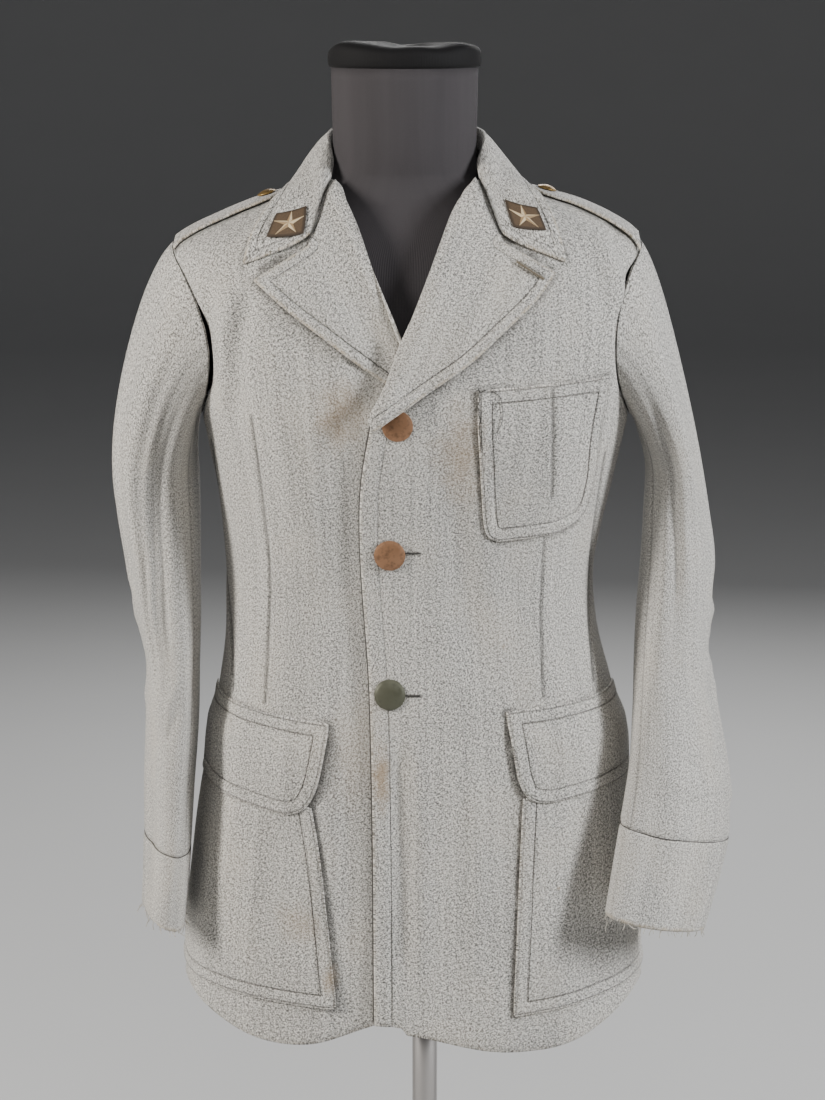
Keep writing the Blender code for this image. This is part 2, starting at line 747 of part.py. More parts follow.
def lapel_grid(roll, gorge, top, edge, across, up, lift, laid, base):
    """A lapel from its roll line to its free edge, laid on the front."""

    def bottom(share):
        return roll[0][0] + (edge[0][0] - roll[0][0]) * share, roll[0][1] + (edge[0][1] - roll[0][1]) * share

    def upper(share):
        if share < 0.5:
            return along(gorge, share * 2.0)
        return along(top, share * 2.0 - 1.0)

    plan = shared_patch(
        bottom, upper, lambda s: along(roll, s), lambda s: along(edge, s), across, even_shares(up))
    rows = []
    for j, row in enumerate(plan):
        width = float(np.linalg.norm(row[-1] - row[0]))
        line = []
        for i, (x, z) in enumerate(row):
            angle = front_angle(x, z)
            out = roll_lift(i / across, width, lift, laid) + base(x, z)
            line.append(body_point(angle, z, out))
        rows.append(line)
    return np.array(rows)


def shifted(points, across, down):
    return tuple((x + across, z - down) for x, z in points)


def make_lapels(build):
    aside, down = 2.2, 1.2
    left_roll = ((-31, 866), (-19, 893), (-6, 929), (6, 955), (22, 995), (30, 1016), (42, 1045), (59, 1068))
    left = lapel_grid(
        left_roll, shifted(LEFT_GORGE, -aside, down), shifted(LEFT_LAPEL_TOP, -aside, down),
        LEFT_LAPEL_EDGE, 8, 14, 3.0, 2.1, button_lift)
    build.sheet("lapel_left", left, TRIM, "wool", side=0.0, flip=True)
    right_roll = ((3, 917), (-2, 929), (-19, 970), (-35, 1009), (-44, 1032), (-51, 1047), (-62, 1067))
    right = lapel_grid(
        right_roll, shifted(RIGHT_GORGE, aside, down), shifted(RIGHT_LAPEL_TOP, aside, down),
        RIGHT_LAPEL_EDGE, 8, 12, 1.6, 2.7, underlap_depth)
    build.sheet("lapel_right", right, TRIM, "wool", side=0.0)


def button_lift(x, z):
    """The left lapel rises over the first button, which it half covers."""
    away = math.dist((x, z), (BUTTONS[0][1], BUTTONS[0][2]))
    return 6.2 * (1.0 - smooth_step(away, 15.0, 40.0))


def collar_line(angle):
    """Seam, fold and outer edge of the collar at an angle of its seam."""
    _, seam, fold, across, deep = smooth_rows(COLLAR_ROWS, abs(angle))
    return seam, fold, math.copysign(across, angle), deep


FOLD_RADIUS = 2.4


def collar_column(angle):
    """Points from the seam up the stand, over the fold and down the fall."""
    seam, fold, across, deep = collar_line(angle)
    points = []
    for share in (0.0, 0.5, 1.0):
        height = seam + SEAM + (fold - FOLD_RADIUS - seam - SEAM) * share
        points.append(ring_point(angle, height) + outward(angle) * -1.2)
    side_out = outward(angle)
    top = ring_point(angle, fold) + side_out * (FOLD_RADIUS - 1.2)
    points.append(top)
    start = ring_point(angle, fold - FOLD_RADIUS) + side_out * (2.0 * FOLD_RADIUS - 1.2)
    end = top_point(across, deep, 3.0)
    handle = start + side_out * 13.0 - np.array((0.0, 0.0, 9.0))
    for share in (0.0, 0.14, 0.3, 0.48, 0.66, 0.84, 1.0):
        points.append((1 - share) ** 2 * start + 2 * share * (1 - share) * handle + share**2 * end)
    return points


def outward(angle):
    turn = math.radians(angle)
    return np.array((math.sin(turn), -math.cos(turn), 0.0))


def push_clear(point, clear):
    """Moves a point out until it lies clear of the body's cloth."""
    height = point[2]
    _, right, left, front, back, square = smooth_rows(BODY_ROWS, height)
    if height > 1070.0:
        return point
    wide = left if point[0] > 0 else right
    depth = front if point[1] < 0 else back
    for _ in range(12):
        x, y = abs(point[0]), abs(point[1])
        level = ((x / wide) ** square + (y / depth) ** square) ** (1.0 / square)
        sine = min((x / wide / level) ** (square / 2.0), 1.0)
        angle = math.degrees(math.asin(sine))
        angle = angle if point[1] < 0 else 180.0 - angle
        angle = math.copysign(angle, point[0])
        place = body_point(angle, height)
        normal = body_normal(angle, height)
        apart = float((point - place) @ normal)
        if apart >= clear:
            break
        point = point + normal * (clear - apart)
        height = point[2]
        _, right, left, front, back, square = smooth_rows(BODY_ROWS, height)
        wide = left if point[0] > 0 else right
        depth = front if point[1] < 0 else back
    return point


def end_curve(gorge, front, lift, count):
    """The collar's front end: collar seam to the notch, then its free edge."""
    points = []
    for i in range(count):
        share = i / (count - 1)
        if share < 0.55:
            x, z = along(gorge, share / 0.55)
        else:
            x, z = along(front, (share - 0.55) / 0.45)
        points.append(body_point(front_angle(x, z), z, lift))
    return points


def collar_grid():
    angles = []
    steps = 15
    for i in range(-steps, steps + 1):
        share = abs(i) / steps
        angles.append(math.copysign(180.0 - 114.0 * share**0.9, i if i else 1))
    rows = [collar_column(angle) for angle in angles]
    grid = np.array(rows)
    fall = grid.shape[1] - 4
    for first, gorge, front in ((0, RIGHT_GORGE, RIGHT_COLLAR_FRONT), (-1, LEFT_GORGE, LEFT_COLLAR_FRONT)):
        line = end_curve(gorge, front, 2.2, fall)
        step = 1 if first == 0 else -1
        shift = np.array(line) - grid[first, 4:]
        for k in range(6):
            weight = 1.0 - smooth_step(k / 6.0, 0.0, 1.0)
            grid[first + step * k, 4:] += shift * weight
    for j in range(grid.shape[0]):
        for i in range(4, grid.shape[1]):
            grid[j, i] = push_clear(grid[j, i], 2.0)
    return grid


def make_collar(build):
    grid = collar_grid()
    build.sheet("collar", grid, TRIM, "wool", side=0.0, flip=True)
    return grid


def grid_place(grid, row, column, out):
    """A point of a grid at fractional row and column, moved out."""

    def point(r, c):
        r = min(max(r, 0.0), grid.shape[0] - 1.001)
        c = min(max(c, 0.0), grid.shape[1] - 1.001)
        j, i = int(r), int(c)
        u, v = r - j, c - i
        return (
            grid[j, i] * (1 - u) * (1 - v) + grid[j + 1, i] * u * (1 - v)
            + grid[j, i + 1] * (1 - u) * v + grid[j + 1, i + 1] * u * v)

    along_row = point(row + 0.3, column) - point(row - 0.3, column)
    along_column = point(row, column + 0.3) - point(row, column - 0.3)
    normal = np.cross(along_column, along_row)
    normal = normal / np.linalg.norm(normal)
    return point(row, column) - normal * out


def seen_place(grid, x, z):
    """Row and column of the collar's fall that the front view shows at x and z."""
    best = None
    last = grid.shape[0] - 1
    for j in range(0, 61):
        row = j / 10.0 if x < 0 else last - j / 10.0
        for i in range(45, 105):
            place = grid_place(grid, row, i / 10.0, 0.0)
            level = place[2] + (place[1] - SEEN_DEEP) * SEEN_SLOPE
            away = math.hypot(place[0] - x, level - z)
            if best is None or away < best[0]:
                best = (away, row, i / 10.0)
    return best[1], best[2]


def make_collar_patches(build, grid):
    """A small cloth patch near each collar tip, between its four corners."""
    for name, corners in (("collar_patch_right", RIGHT_PATCH), ("collar_patch_left", LEFT_PATCH)):
        a, b, c, d = [np.array(seen_place(grid, x, z)) for x, z in corners]
        patch = []
        for j in range(5):
            v = j / 4.0
            line = []
            for i in range(5):
                u = i / 4.0
                row, column = (a * (1 - u) + b * u) * (1 - v) + (d * (1 - u) + c * u) * v
                line.append(grid_place(grid, row, column, TRIM / 2.0 + LAID + PATCH / 2.0))
            patch.append(line)
        build.sheet(name, np.array(patch), PATCH, "patch", side=0.0, flip=True)


def patch_rows(table, across, rows, angle_ends, out, sewn=None):
    """A pocket or flap as rows of points laid on the front; sewn is its top's height."""
    grid = []
    for k in range(rows + 1):
        lift = out if sewn is None else sewn + (out - sewn) * smooth_step(k / rows, 0.0, 0.3)
        inner, inner_height, outer, outer_height = smooth_rows(
            table, k * (len(table) - 1) / rows, list(range(len(table))))
        start = front_angle(inner, inner_height)
        end = outer if angle_ends else front_angle(outer, outer_height)
        row = []
        for i in range(across + 1):
            share = i / across
            angle = start + (end - start) * share
            height = inner_height + (outer_height - inner_height) * share
            row.append(body_point(angle, height, lift))
        grid.append(row)
    return np.array(grid)


def make_pockets(build):
    laid = LAID + TRIM / 2.0
    build.sheet("breast_pocket", patch_rows(BREAST_POCKET, 7, 7, False, laid), TRIM, "wool", side=0.0, flip=True)
    build.sheet("hip_pocket_left", patch_rows(LEFT_POCKET, 8, 8, True, laid), TRIM, "wool", side=0.0, flip=True)
    build.sheet("hip_pocket_right", patch_rows(RIGHT_POCKET, 8, 8, True, laid), TRIM, "wool", side=0.0)
    over = laid + TRIM + 0.9
    sewn = SEWN_CLEAR + TRIM / 2.0
    left = patch_rows(LEFT_FLAP, 8, 8, True, over, sewn)
    build.sheet("hip_flap_left", left, TRIM, "wool", side=0.0, flip=True)
    right = patch_rows(RIGHT_FLAP, 8, 8, True, over, sewn)
    build.sheet("hip_flap_right", right, TRIM, "wool", side=0.0)


EPAULETTE_LIFT = 2.4     # from the shoulder to the middle of the strap's wall
# Columns: across, middle, half wide
EPAULETTE = (
    (205, -3, 26),
    (190, -4, 25.5),
    (170, -5, 24.5),
    (150, -6, 23.5),
    (130, -7, 22),
    (118, -7, 18),
    (110, -7, 8),
)


def make_epaulettes(build):
    for side, name in ((1, "left"), (-1, "right")):
        grid = []
        for across, middle, half in EPAULETTE:
            row = []
            for i in range(7):
                deep = middle + half * (i / 3.0 - 1.0)
                row.append(top_point(side * across, deep, EPAULETTE_LIFT))
            grid.append(row)
        build.sheet("epaulette_" + name, np.array(grid), TRIM + 0.4, "wool", side=0.0, flip=side > 0)
        place = top_point(side * 124, -7.0, EPAULETTE_LIFT + 1.6)
        near = top_point(side * 124, -7.0, EPAULETTE_LIFT + 2.6)
        dome_button(build, "epaulette_button_" + name, place, near - place, 8.5, 3.6, "brass")


def dome_button(build, name, place, normal, radius, dome, look):
    """A round domed button with a turned edge and a flat back."""
    profile = [(0.0, dome)]
    for share in (0.35, 0.62, 0.82, 0.94):
        profile.append((radius * share, dome * math.cos(share * math.pi / 2.0 * 0.86)))
    profile += [(radius, dome * 0.28), (radius, dome * 0.1), (radius * 0.96, 0.0), (0.0, 0.0)]
    build.turned(name, profile, place, look, normal)


def make_buttons(build):
    for name, across, height, radius, dome, look, room in BUTTONS:
        angle = front_angle(across, height)
        place = body_point(angle, height, room)
        dome_button(build, name, place, body_normal(angle, height), radius, dome, look)


def form_clearance(angle, height):
    """From the tunic's outside to the form: little on the shoulders, more below."""
    from_side = abs(abs(angle) - 90.0)
    free = FORM_CLEAR + 4.0 * smooth_step(from_side, 60.0, 0.0)
    carried = smooth_step(height, 985.0, 1016.0) * (1.0 - smooth_step(from_side, 34.0, 58.0))
    carried *= 1.0 - 0.7 * smooth_step(height, 1040.0, 1058.0)
    return free + (SHOULDER_CLEAR - free) * carried


def make_form(build):
    """The limbless dress form: the tunic's shape drawn in, then a round neck."""
    around = 28
    rings = []
    rows_below = 11
    heights = [FORM_LOW + (985.0 - FORM_LOW) * j / rows_below for j in range(rows_below + 1)]
    heights += [998.0, 1008.0, 1016.0, 1026.0, 1036.0, 1048.0, 1058.0]
    for height in heights:
        ring = []
        for i in range(around):
            angle = 360.0 * i / around - 180.0
            clear = form_clearance(angle, height)
            ring.append(ring_point(angle, height) - body_normal(angle, height) * clear)
        ring = np.array(ring)
        if height == FORM_LOW:
            ring[:, 2] = FORM_LOW
        rings.append(ring)
    for height in (1070.0, 1080.0, 1092.0, 1110.0, 1135.0, FORM_NECK_TOP):
        _, wide, front, back = smooth_rows(NECK_ROWS, height)
        ring = []
        for i in range(around):
            turn = math.radians(360.0 * i / around - 180.0)
            deep = front if math.cos(turn) > 0 else back
            ring.append(np.array((wide * math.sin(turn) - 2.0, -deep * math.cos(turn), height)))
        rings.append(np.array(ring))
    build.loft("form_torso", rings, "jersey")
    cap = []
    for rise, size in ((SEAM, 1.0), (3.0, 1.025), (9.0, 1.035), (14.0, 1.02), (17.5, 0.96), (19.0, 0.8)):
        ring = []
        for i in range(around):
            turn = math.radians(360.0 * i / around - 180.0)
            deep = 60.0 if math.cos(turn) > 0 else 62.0
            lump = 0.0
            for centre, high in ((-55.0, 5.0), (62.0, 3.5)):
                away = (math.degrees(turn) - centre) / 24.0
                lump += high * math.exp(-away * away) * smooth_step(rise, 3.0, 17.0)
            x = 66.0 * size * math.sin(turn) - 2.0
            ring.append(np.array((x, -deep * size * math.cos(turn), FORM_NECK_TOP + rise + lump)))
        cap.append(np.array(ring))
    build.loft("form_cap", cap, "jersey")


def make_stand(build):
    """A chrome pole in a socket on a round steel foot."""
    edge = FOOT_RADIUS
    foot = [
        (0.0, FOOT_HEIGHT), (edge - 40.0, FOOT_HEIGHT), (edge - 4.0, FOOT_HEIGHT - 3.0),
        (edge, FOOT_HEIGHT - 5.5), (edge, 1.0), (edge - 1.0, 0.0), (0.0, 0.0)]
    build.turned("stand_foot", foot, (POLE_X, 0.0, 0.0), "enamel", steps=40)
    low = FOOT_HEIGHT + SEAM
    bore = POLE_RADIUS + SEAM
    socket = [
        (bore, low + 40.0), (bore + 3.0, low + 40.0), (bore + 5.0, low + 38.0), (bore + 5.0, low + 8.0),
        (bore + 14.0, low + 4.0), (bore + 15.0, low + 2.0), (bore + 15.0, low), (bore, low), (bore, low + 40.0)]
    build.turned("stand_socket", socket, (POLE_X, 0.0, 0.0), "chrome", steps=24)
    high = FORM_LOW - SEAM
    pole = [
        (0.0, high), (POLE_RADIUS - 1.0, high), (POLE_RADIUS, high - 1.0),
        (POLE_RADIUS, low + 1.0), (POLE_RADIUS - 1.0, low), (0.0, low)]
    build.turned("stand_pole", pole, (POLE_X, 0.0, 0.0), "chrome", steps=24)


def main():
    clear_scene()
    build = Builder()
    make_panels(build)
    make_sleeves(build)
    make_lapels(build)
    grid = make_collar(build)
    make_collar_patches(build, grid)
    make_pockets(build)
    make_epaulettes(build)
    make_buttons(build)
    make_form(build)
    make_stand(build)


main()
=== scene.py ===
"""Looks of a military tunic on a limbless dress form: cloth, sewing, buttons, form, stand and studio.

Tables are in millimetres and degrees, measured from the garment's middle plane;
finished meshes are in metres in the frame's axes. An angle on the body is 0 at
the middle of the front, 90 at the wearer's left, 180 at the back and -90 at the
wearer's right. Lines on the fronts are points of (across, height).
"""

import json
import math

import bpy
import numpy as np
from bpy.props import FloatProperty, FloatVectorProperty, IntProperty, PointerProperty
from bpy.types import Operator, Panel, PropertyGroup
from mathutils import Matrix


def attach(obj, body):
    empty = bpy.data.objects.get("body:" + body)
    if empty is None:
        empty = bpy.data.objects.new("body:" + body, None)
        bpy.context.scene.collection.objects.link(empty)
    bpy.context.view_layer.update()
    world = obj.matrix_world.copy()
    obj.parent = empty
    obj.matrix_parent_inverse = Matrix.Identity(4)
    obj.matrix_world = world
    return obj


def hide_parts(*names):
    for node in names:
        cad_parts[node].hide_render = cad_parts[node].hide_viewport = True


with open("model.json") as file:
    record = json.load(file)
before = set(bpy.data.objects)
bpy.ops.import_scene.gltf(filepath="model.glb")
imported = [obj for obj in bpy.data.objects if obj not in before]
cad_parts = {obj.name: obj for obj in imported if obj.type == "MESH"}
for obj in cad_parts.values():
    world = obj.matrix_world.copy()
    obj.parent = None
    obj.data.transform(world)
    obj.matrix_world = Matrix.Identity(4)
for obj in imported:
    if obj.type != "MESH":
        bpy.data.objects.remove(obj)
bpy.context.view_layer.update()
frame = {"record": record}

bl_info = {
    "name": "Military tunic on a dress form",
    "version": (1, 0, 0),
    "blender": (4, 5, 0),
    "location": "View3D > Sidebar > Tunic",
    "description": "Cloth, sewing, buttons, dress form, stand and studio of a uniform tunic",
    "category": "Add Mesh",
}

MM = 0.001
POLE_X = 16.5
SEAM = 0.3
CLOTH = 2.0
TRIM = 1.6
LAID = 1.1

# Rings of the body: height, right, left, front, back, square
BODY_ROWS = (
    (285, 209, 222, 146, 134, 2.25),
    (335, 207, 219, 144, 132, 2.25),
    (400, 202, 212, 139, 128, 2.28),
    (470, 193, 205, 134, 122, 2.3),
    (550, 181, 199, 128, 112, 2.3),
    (610, 173, 188, 122, 103, 2.3),
    (665, 166, 174, 117, 98, 2.3),
    (715, 165, 169, 116, 98, 2.3),
    (760, 168, 177, 121, 103, 2.3),
    (810, 175, 189, 129, 111, 2.3),
    (860, 186, 201, 134, 119, 2.3),
    (910, 199, 207, 132, 125, 2.25),
    (955, 209, 211, 123, 127, 2.2),
    (990, 214, 213, 109, 122, 2.15),
    (1008, 212, 212, 99, 115, 2.1),
    (1020, 198, 204, 92, 108, 2.05),
    (1032, 174, 187, 86, 100, 2.0),
    (1046, 140, 157, 79, 91, 2.0),
    (1057, 106, 118, 72, 82, 2.0),
    (1066, 84, 88, 66, 74, 2.0),
    (1074, 74, 75, 62, 69, 2.0),
    (1084, 70, 70, 60, 67, 2.0),
    (1112, 70, 69, 62, 68, 2.0),
)

# Soft folds of the body: angle, drift, top, low, depth, half width in degrees
BODY_FOLDS = (
    (-40, 8, 985, 760, 4.0, 9),
    (-58, 6, 960, 700, -4.0, 9),
    (20, 6, 860, 560, -3.0, 10),
    (6, 0, 600, 300, -3.5, 10),
    (34, 4, 560, 300, 3.0, 10),
    (60, -8, 1005, 860, 3.5, 9),
    (-30, 4, 560, 300, -2.5, 10),
    (-62, 4, 560, 300, 3.0, 10),
    (140, 6, 900, 560, -4.5, 10),
    (-140, -6, 920, 600, -4.5, 10),
    (118, 0, 700, 300, 5.0, 11),
    (-120, 0, 680, 300, 5.0, 11),
    (162, 4, 620, 300, -4.5, 10),
    (-156, 4, 560, 300, 4.0, 10),
)

# Small creases of the fronts: depth, half width, points
FRONT_CREASES = (
    (2.4, 7, ((-150, 985), (-160, 930), (-166, 850))),
    (-2.6, 7, ((-172, 990), (-180, 930), (-176, 862))),
    (-2.4, 8, ((-134, 985), (-146, 930), (-148, 850))),
    (1.8, 8, ((166, 1030), (186, 985), (196, 930))),
    (-2.2, 7, ((176, 1034), (196, 990), (203, 940))),
    (-1.6, 9, ((150, 1022), (168, 985), (176, 935))),
    (-3.0, 13, ((29, 870), (46, 744), (64, 612))),
    (1.5, 12, ((52, 850), (70, 744), (90, 625))),
    (-3.4, 9, ((-9, 620), (-6, 540), (-4, 430), (-3, 330))),
    (1.6, 8, ((8, 612), (12, 520), (14, 420), (12, 330))),
    (-1.2, 8, ((-60, 600), (-52, 480), (-50, 350))),
    (1.2, 9, ((-78, 880), (-84, 800), (-80, 700))),
    (1.4, 10, ((60, 560), (64, 460), (58, 340))),
    (-2.0, 10, ((160, 470), (168, 400), (166, 345))),
    (1.1, 9, ((-170, 480), (-176, 410), (-174, 350))),
)
# Small creases of the back, in the same way
BACK_CREASES = (
    (-2.0, 10, ((-60, 960), (-90, 900), (-130, 860))),
    (2.0, 10, ((-40, 940), (-76, 880), (-120, 830))),
    (-2.0, 10, ((56, 965), (88, 905), (132, 862))),
    (1.8, 10, ((44, 930), (80, 878), (126, 828))),
    (-1.8, 12, ((-110, 700), (-60, 660), (0, 650))),
    (-1.6, 12, ((112, 690), (64, 655), (6, 640))),
    (1.6, 12, ((-20, 600), (-26, 480), (-24, 350))),
    (1.6, 12, ((70, 600), (76, 480), (74, 350))),
)
# Darts and side panels' seams on the fronts and the back
FRONT_DARTS = (
    ((-135, 868), (-123, 746), (-121, 708), (-124, 652), (-127, 608)),
    ((-176, 838), (-166, 733), (-160, 676), (-156, 612)),
    ((126, 892), (126, 850), (126, 796)),
    ((121, 764), (119, 691), (121, 615)),
    ((176, 830), (166, 733), (164, 676), (168, 620)),
)
BACK_DARTS = (
    ((-150, 930), (-120, 860), (-104, 760), (-100, 660), (-106, 540), (-118, 420), (-126, 338)),
    ((150, 930), (120, 860), (106, 760), (102, 660), (110, 540), (124, 420), (134, 338)),
)

# Sleeves: height, outer, inner, middle, deep, turn, slope
RIGHT_SLEEVE = (
    (866, 257, 192, 4, 76, 0, 0.0),
    (806, 268, 190, 2, 74, 2, 0.0),
    (767, 265, 189, 0, 73, 4, 0.0),
    (724, 258, 188, -3, 72, 6, -0.02),
    (680, 252, 188, -6, 70, 8, -0.04),
    (632, 241, 189, -12, 68, 10, -0.06),
    (590, 241, 190, -19, 66, 14, -0.08),
    (533, 242, 193, -30, 63, 18, -0.1),
    (479, 242, 196, -42, 60, 24, -0.14),
    (440, 243, 199, -51, 57, 28, -0.18),
    (406, 244, 202, -58, 55, 30, -0.22),
)
LEFT_SLEEVE = (
    (866, 257, 213, 4, 78, 0, 0.0),
    (806, 269, 217, 2, 76, 4, 0.0),
    (767, 276, 215, 0, 75, 8, 0.0),
    (724, 282, 212, -4, 74, 12, 0.0),
    (680, 281, 209, -9, 71, 16, 0.02),
    (632, 280, 206, -18, 67, 22, 0.06),
    (590, 287, 204, -32, 62, 28, 0.12),
    (545, 295, 200, -50, 56, 34, 0.2),
    (505, 298, 194, -67, 50, 40, 0.28),
    (460, 287, 186, -86, 45, 44, 0.32),
    (411, 271, 177, -104, 41, 46, 0.33),
)
# Sleeve folds: around, drift, top, low, depth, half width in degrees
RIGHT_SLEEVE_FOLDS = (
    (-100, 20, 960, 560, -6.0, 15),
    (-72, 16, 930, 640, 5.0, 13),
    (-44, 14, 900, 600, -5.5, 13),
    (-130, 10, 860, 420, 4.0, 15),
    (60, -16, 940, 600, -6.0, 16),
    (100, -10, 860, 520, 5.0, 15),
    (-60, 10, 600, 400, -4.0, 16),
)
LEFT_SLEEVE_FOLDS = (
    (-60, -16, 980, 760, 5.0, 12),
    (-90, -14, 900, 600, -4.5, 15),
    (-50, 26, 690, 560, -4.0, 14),
    (-20, 60, 520, 480, -4.0, 20),
    (70, 14, 950, 620, -6.0, 16),
    (110, 10, 820, 480, 5.0, 15),
    (-110, 8, 700, 420, 4.0, 16),
)
# Small creases of the sleeves: depth, half width, points of (turn, height)
RIGHT_SLEEVE_CREASES = (
    (2.6, 6, ((-96, 900), (-84, 780), (-70, 640))),
    (-2.6, 6, ((-112, 890), (-104, 760), (-96, 620))),
    (2.4, 6, ((-60, 880), (-46, 760), (-36, 650))),
    (-2.6, 5, ((-78, 760), (-68, 690), (-62, 600))),
    (1.9, 7, ((-120, 640), (-90, 600), (-50, 585))),
    (-2.2, 7, ((-124, 610), (-92, 572), (-48, 560))),
    (1.6, 8, ((80, 700), (110, 660), (150, 650))),
    (-1.6, 8, ((76, 660), (110, 620), (150, 612))),
    (1.4, 8, ((50, 620), (90, 580), (140, 575))),
    (-2.6, 8, ((-24, 700), (24, 674), (84, 662))),
    (2.2, 8, ((-14, 676), (34, 644), (92, 636))),
    (-2.4, 8, ((-20, 640), (30, 606), (96, 604))),
    (2.0, 9, ((-8, 606), (36, 572), (100, 574))),
)
LEFT_SLEEVE_CREASES = (
    (-2.6, 6, ((-110, 560), (-70, 548), (-20, 566))),
    (2.4, 6, ((-116, 540), (-70, 528), (-20, 545))),
    (2.2, 8, ((-80, 900), (-88, 800), (-84, 680))),
    (-2.4, 8, ((-100, 880), (-108, 780), (-104, 660))),
    (2.0, 7, ((-70, 660), (-40, 630), (0, 622))),
    (-2.2, 7, ((-76, 636), (-44, 604), (0, 598))),
    (1.6, 8, ((80, 700), (110, 660), (150, 650))),
    (-1.6, 8, ((76, 664), (110, 624), (150, 614))),
    (-2.6, 8, ((-30, 706), (20, 690), (80, 694))),
    (2.2, 8, ((-20, 680), (30, 662), (88, 664))),
    (-2.6, 8, ((-26, 650), (26, 626), (92, 634))),
    (2.2, 9, ((-10, 614), (40, 590), (98, 600))),
)

# Front edges and roll lines
LEFT_EDGE = ((-28, 325), (-29, 484), (-32, 630), (-38, 715), (-40, 771), (-38, 815), (-29, 868))
LEFT_ROLL = ((-29, 868), (-17, 895), (-4, 931), (8, 957), (24, 997), (32, 1018), (43, 1046), (56, 1066), (78, 1071))
RIGHT_EDGE = ((12, 325), (12, 484), (11, 630), (10, 715), (10, 771), (10, 830), (12, 880))
RIGHT_ROLL = ((12, 880), (4, 910), (-4, 930), (-21, 971), (-37, 1010), (-46, 1033), (-52, 1047), (-60, 1066), (-78, 1071))
LEFT_LAPEL_ROLL = ((-31, 866), (-19, 893), (-6, 929), (6, 955), (22, 995), (30, 1016), (42, 1045), (59, 1068))
RIGHT_LAPEL_ROLL = ((3, 917), (-2, 929), (-19, 970), (-35, 1009), (-44, 1032), (-51, 1047), (-62, 1067))

# Seam of collar and lapel, the notch and the free edges
LEFT_GORGE = ((63, 1071), (71, 1051), (78, 1035), (84, 1021))
LEFT_LAPEL_TOP = ((84, 1020), (106, 1007), (126, 994))
LEFT_LAPEL_EDGE = ((-27, 861), (15, 890), (54, 917), (81, 941), (113, 971), (127, 990))
RIGHT_GORGE = ((-66, 1069), (-72, 1056), (-78, 1038), (-84, 1021))
RIGHT_LAPEL_TOP = ((-84, 1020), (-104, 1008), (-125, 994))
RIGHT_LAPEL_EDGE = ((-7, 892), (-40, 915), (-70, 937), (-102, 960), (-131, 984))
LEFT_COLLAR_FRONT = ((84, 1021), (107, 1012), (138, 1000))
RIGHT_COLLAR_FRONT = ((-84, 1021), (-113, 1009), (-142, 998))

# Collar: angle, seam, fold, edge across, edge deep
COLLAR_ROWS = (
    (66, 1069.5, 1076, 139, -86),
    (72, 1071, 1085, 134, -76),
    (80, 1072.5, 1095, 125, -60),
    (90, 1073.5, 1104, 114, -38),
    (104, 1074.5, 1109, 104, -8),
    (122, 1078, 1112, 94, 30),
    (145, 1082, 1114, 68, 68),
    (180, 1084, 1115, 0, 90),
    (215, 1082, 1114, -68, 68),
)
SEEN_DEEP = -80.0
SEEN_SLOPE = 0.185
RIGHT_PATCH = ((-88, 1049), (-113, 1042), (-122, 1021), (-90, 1024))
LEFT_PATCH = ((86, 1055), (113, 1047), (121, 1027), (92, 1030))

# Pockets and flaps: inner, inner height, outer, outer height, from the top down
BREAST_POCKET = (
    (62, 893, 175, 900),
    (62, 862, 172, 876),
    (64, 830, 168, 846),
    (66, 796, 165, 812),
    (68, 773, 159, 785),
    (72, 763, 149, 770),
    (80, 758, 131, 762),
)
LEFT_FLAP = (
    (89, 604, 86, 612),
    (91, 588, 86, 592),
    (94, 570, 86, 573),
    (98, 546, 86, 552),
    (104, 531, 85, 540),
    (112, 524, 83, 534),
    (126, 521, 80, 531),
)
RIGHT_FLAP = (
    (-70, 594, -88, 610),
    (-71, 580, -88, 590),
    (-74, 562, -88, 572),
    (-79, 540, -88, 551),
    (-85, 526, -87, 540),
    (-93, 516, -85, 533),
    (-106, 511, -82, 530),
)
LEFT_POCKET = (
    (103, 517, 86, 528),
    (101, 478, 86, 490),
    (99, 420, 86, 432),
    (97, 365, 86, 380),
    (96, 336, 86, 352),
    (97, 330, 84, 347),
)
RIGHT_POCKET = (
    (-84, 508, -88, 526),
    (-78, 473, -88, 490),
    (-72, 420, -88, 432),
    (-67, 372, -88, 380),
    (-64, 344, -88, 356),
    (-66, 338, -86, 350),
)
# Buttons: name, across, height, radius, dome, finish, room under it
BUTTONS = (
    ("button_1", -8, 863, 13.5, 3.4, "copper", 0.2),
    ("button_2", -15, 747, 13.8, 4.6, "copper", 0.8),
    ("button_3", -15, 622, 13.8, 4.6, "bronze", 0.3),
)
# Epaulettes: across, middle, half width
EPAULETTE = (
    (205, -3, 26),
    (190, -4, 25.5),
    (170, -5, 24.5),
    (150, -6, 23.5),
    (130, -7, 22),
    (118, -7, 18),
    (110, -7, 8),
)
# Neck of the form: height, half width, front, back
NECK_ROWS = (
    (1066, 71.0, 54, 60),
    (1080, 65.0, 56, 59),
    (1095, 64.0, 58, 60),
    (1115, 64.5, 59, 61),
    (1140, 65.0, 60, 62),
    (1166, 65.5, 60, 62),
)
# Stains of the cloth: centre across, forward and height, size, colour share
STAINS = (
    (-58, -118, 872, 26, 40, 0.7),
    (46, -118, 838, 30, 52, 0.6),
    (-22, -122, 548, 9, 42, 0.95),
    (-68, -135, 366, 10, 18, 0.85),
    (-96, -128, 412, 26, 22, 0.4),
    (86, -120, 662, 3, 3, 0.6),
    (136, -118, 444, 3, 3, 0.8),
    (-50, -128, 560, 34, 60, 0.22),
)

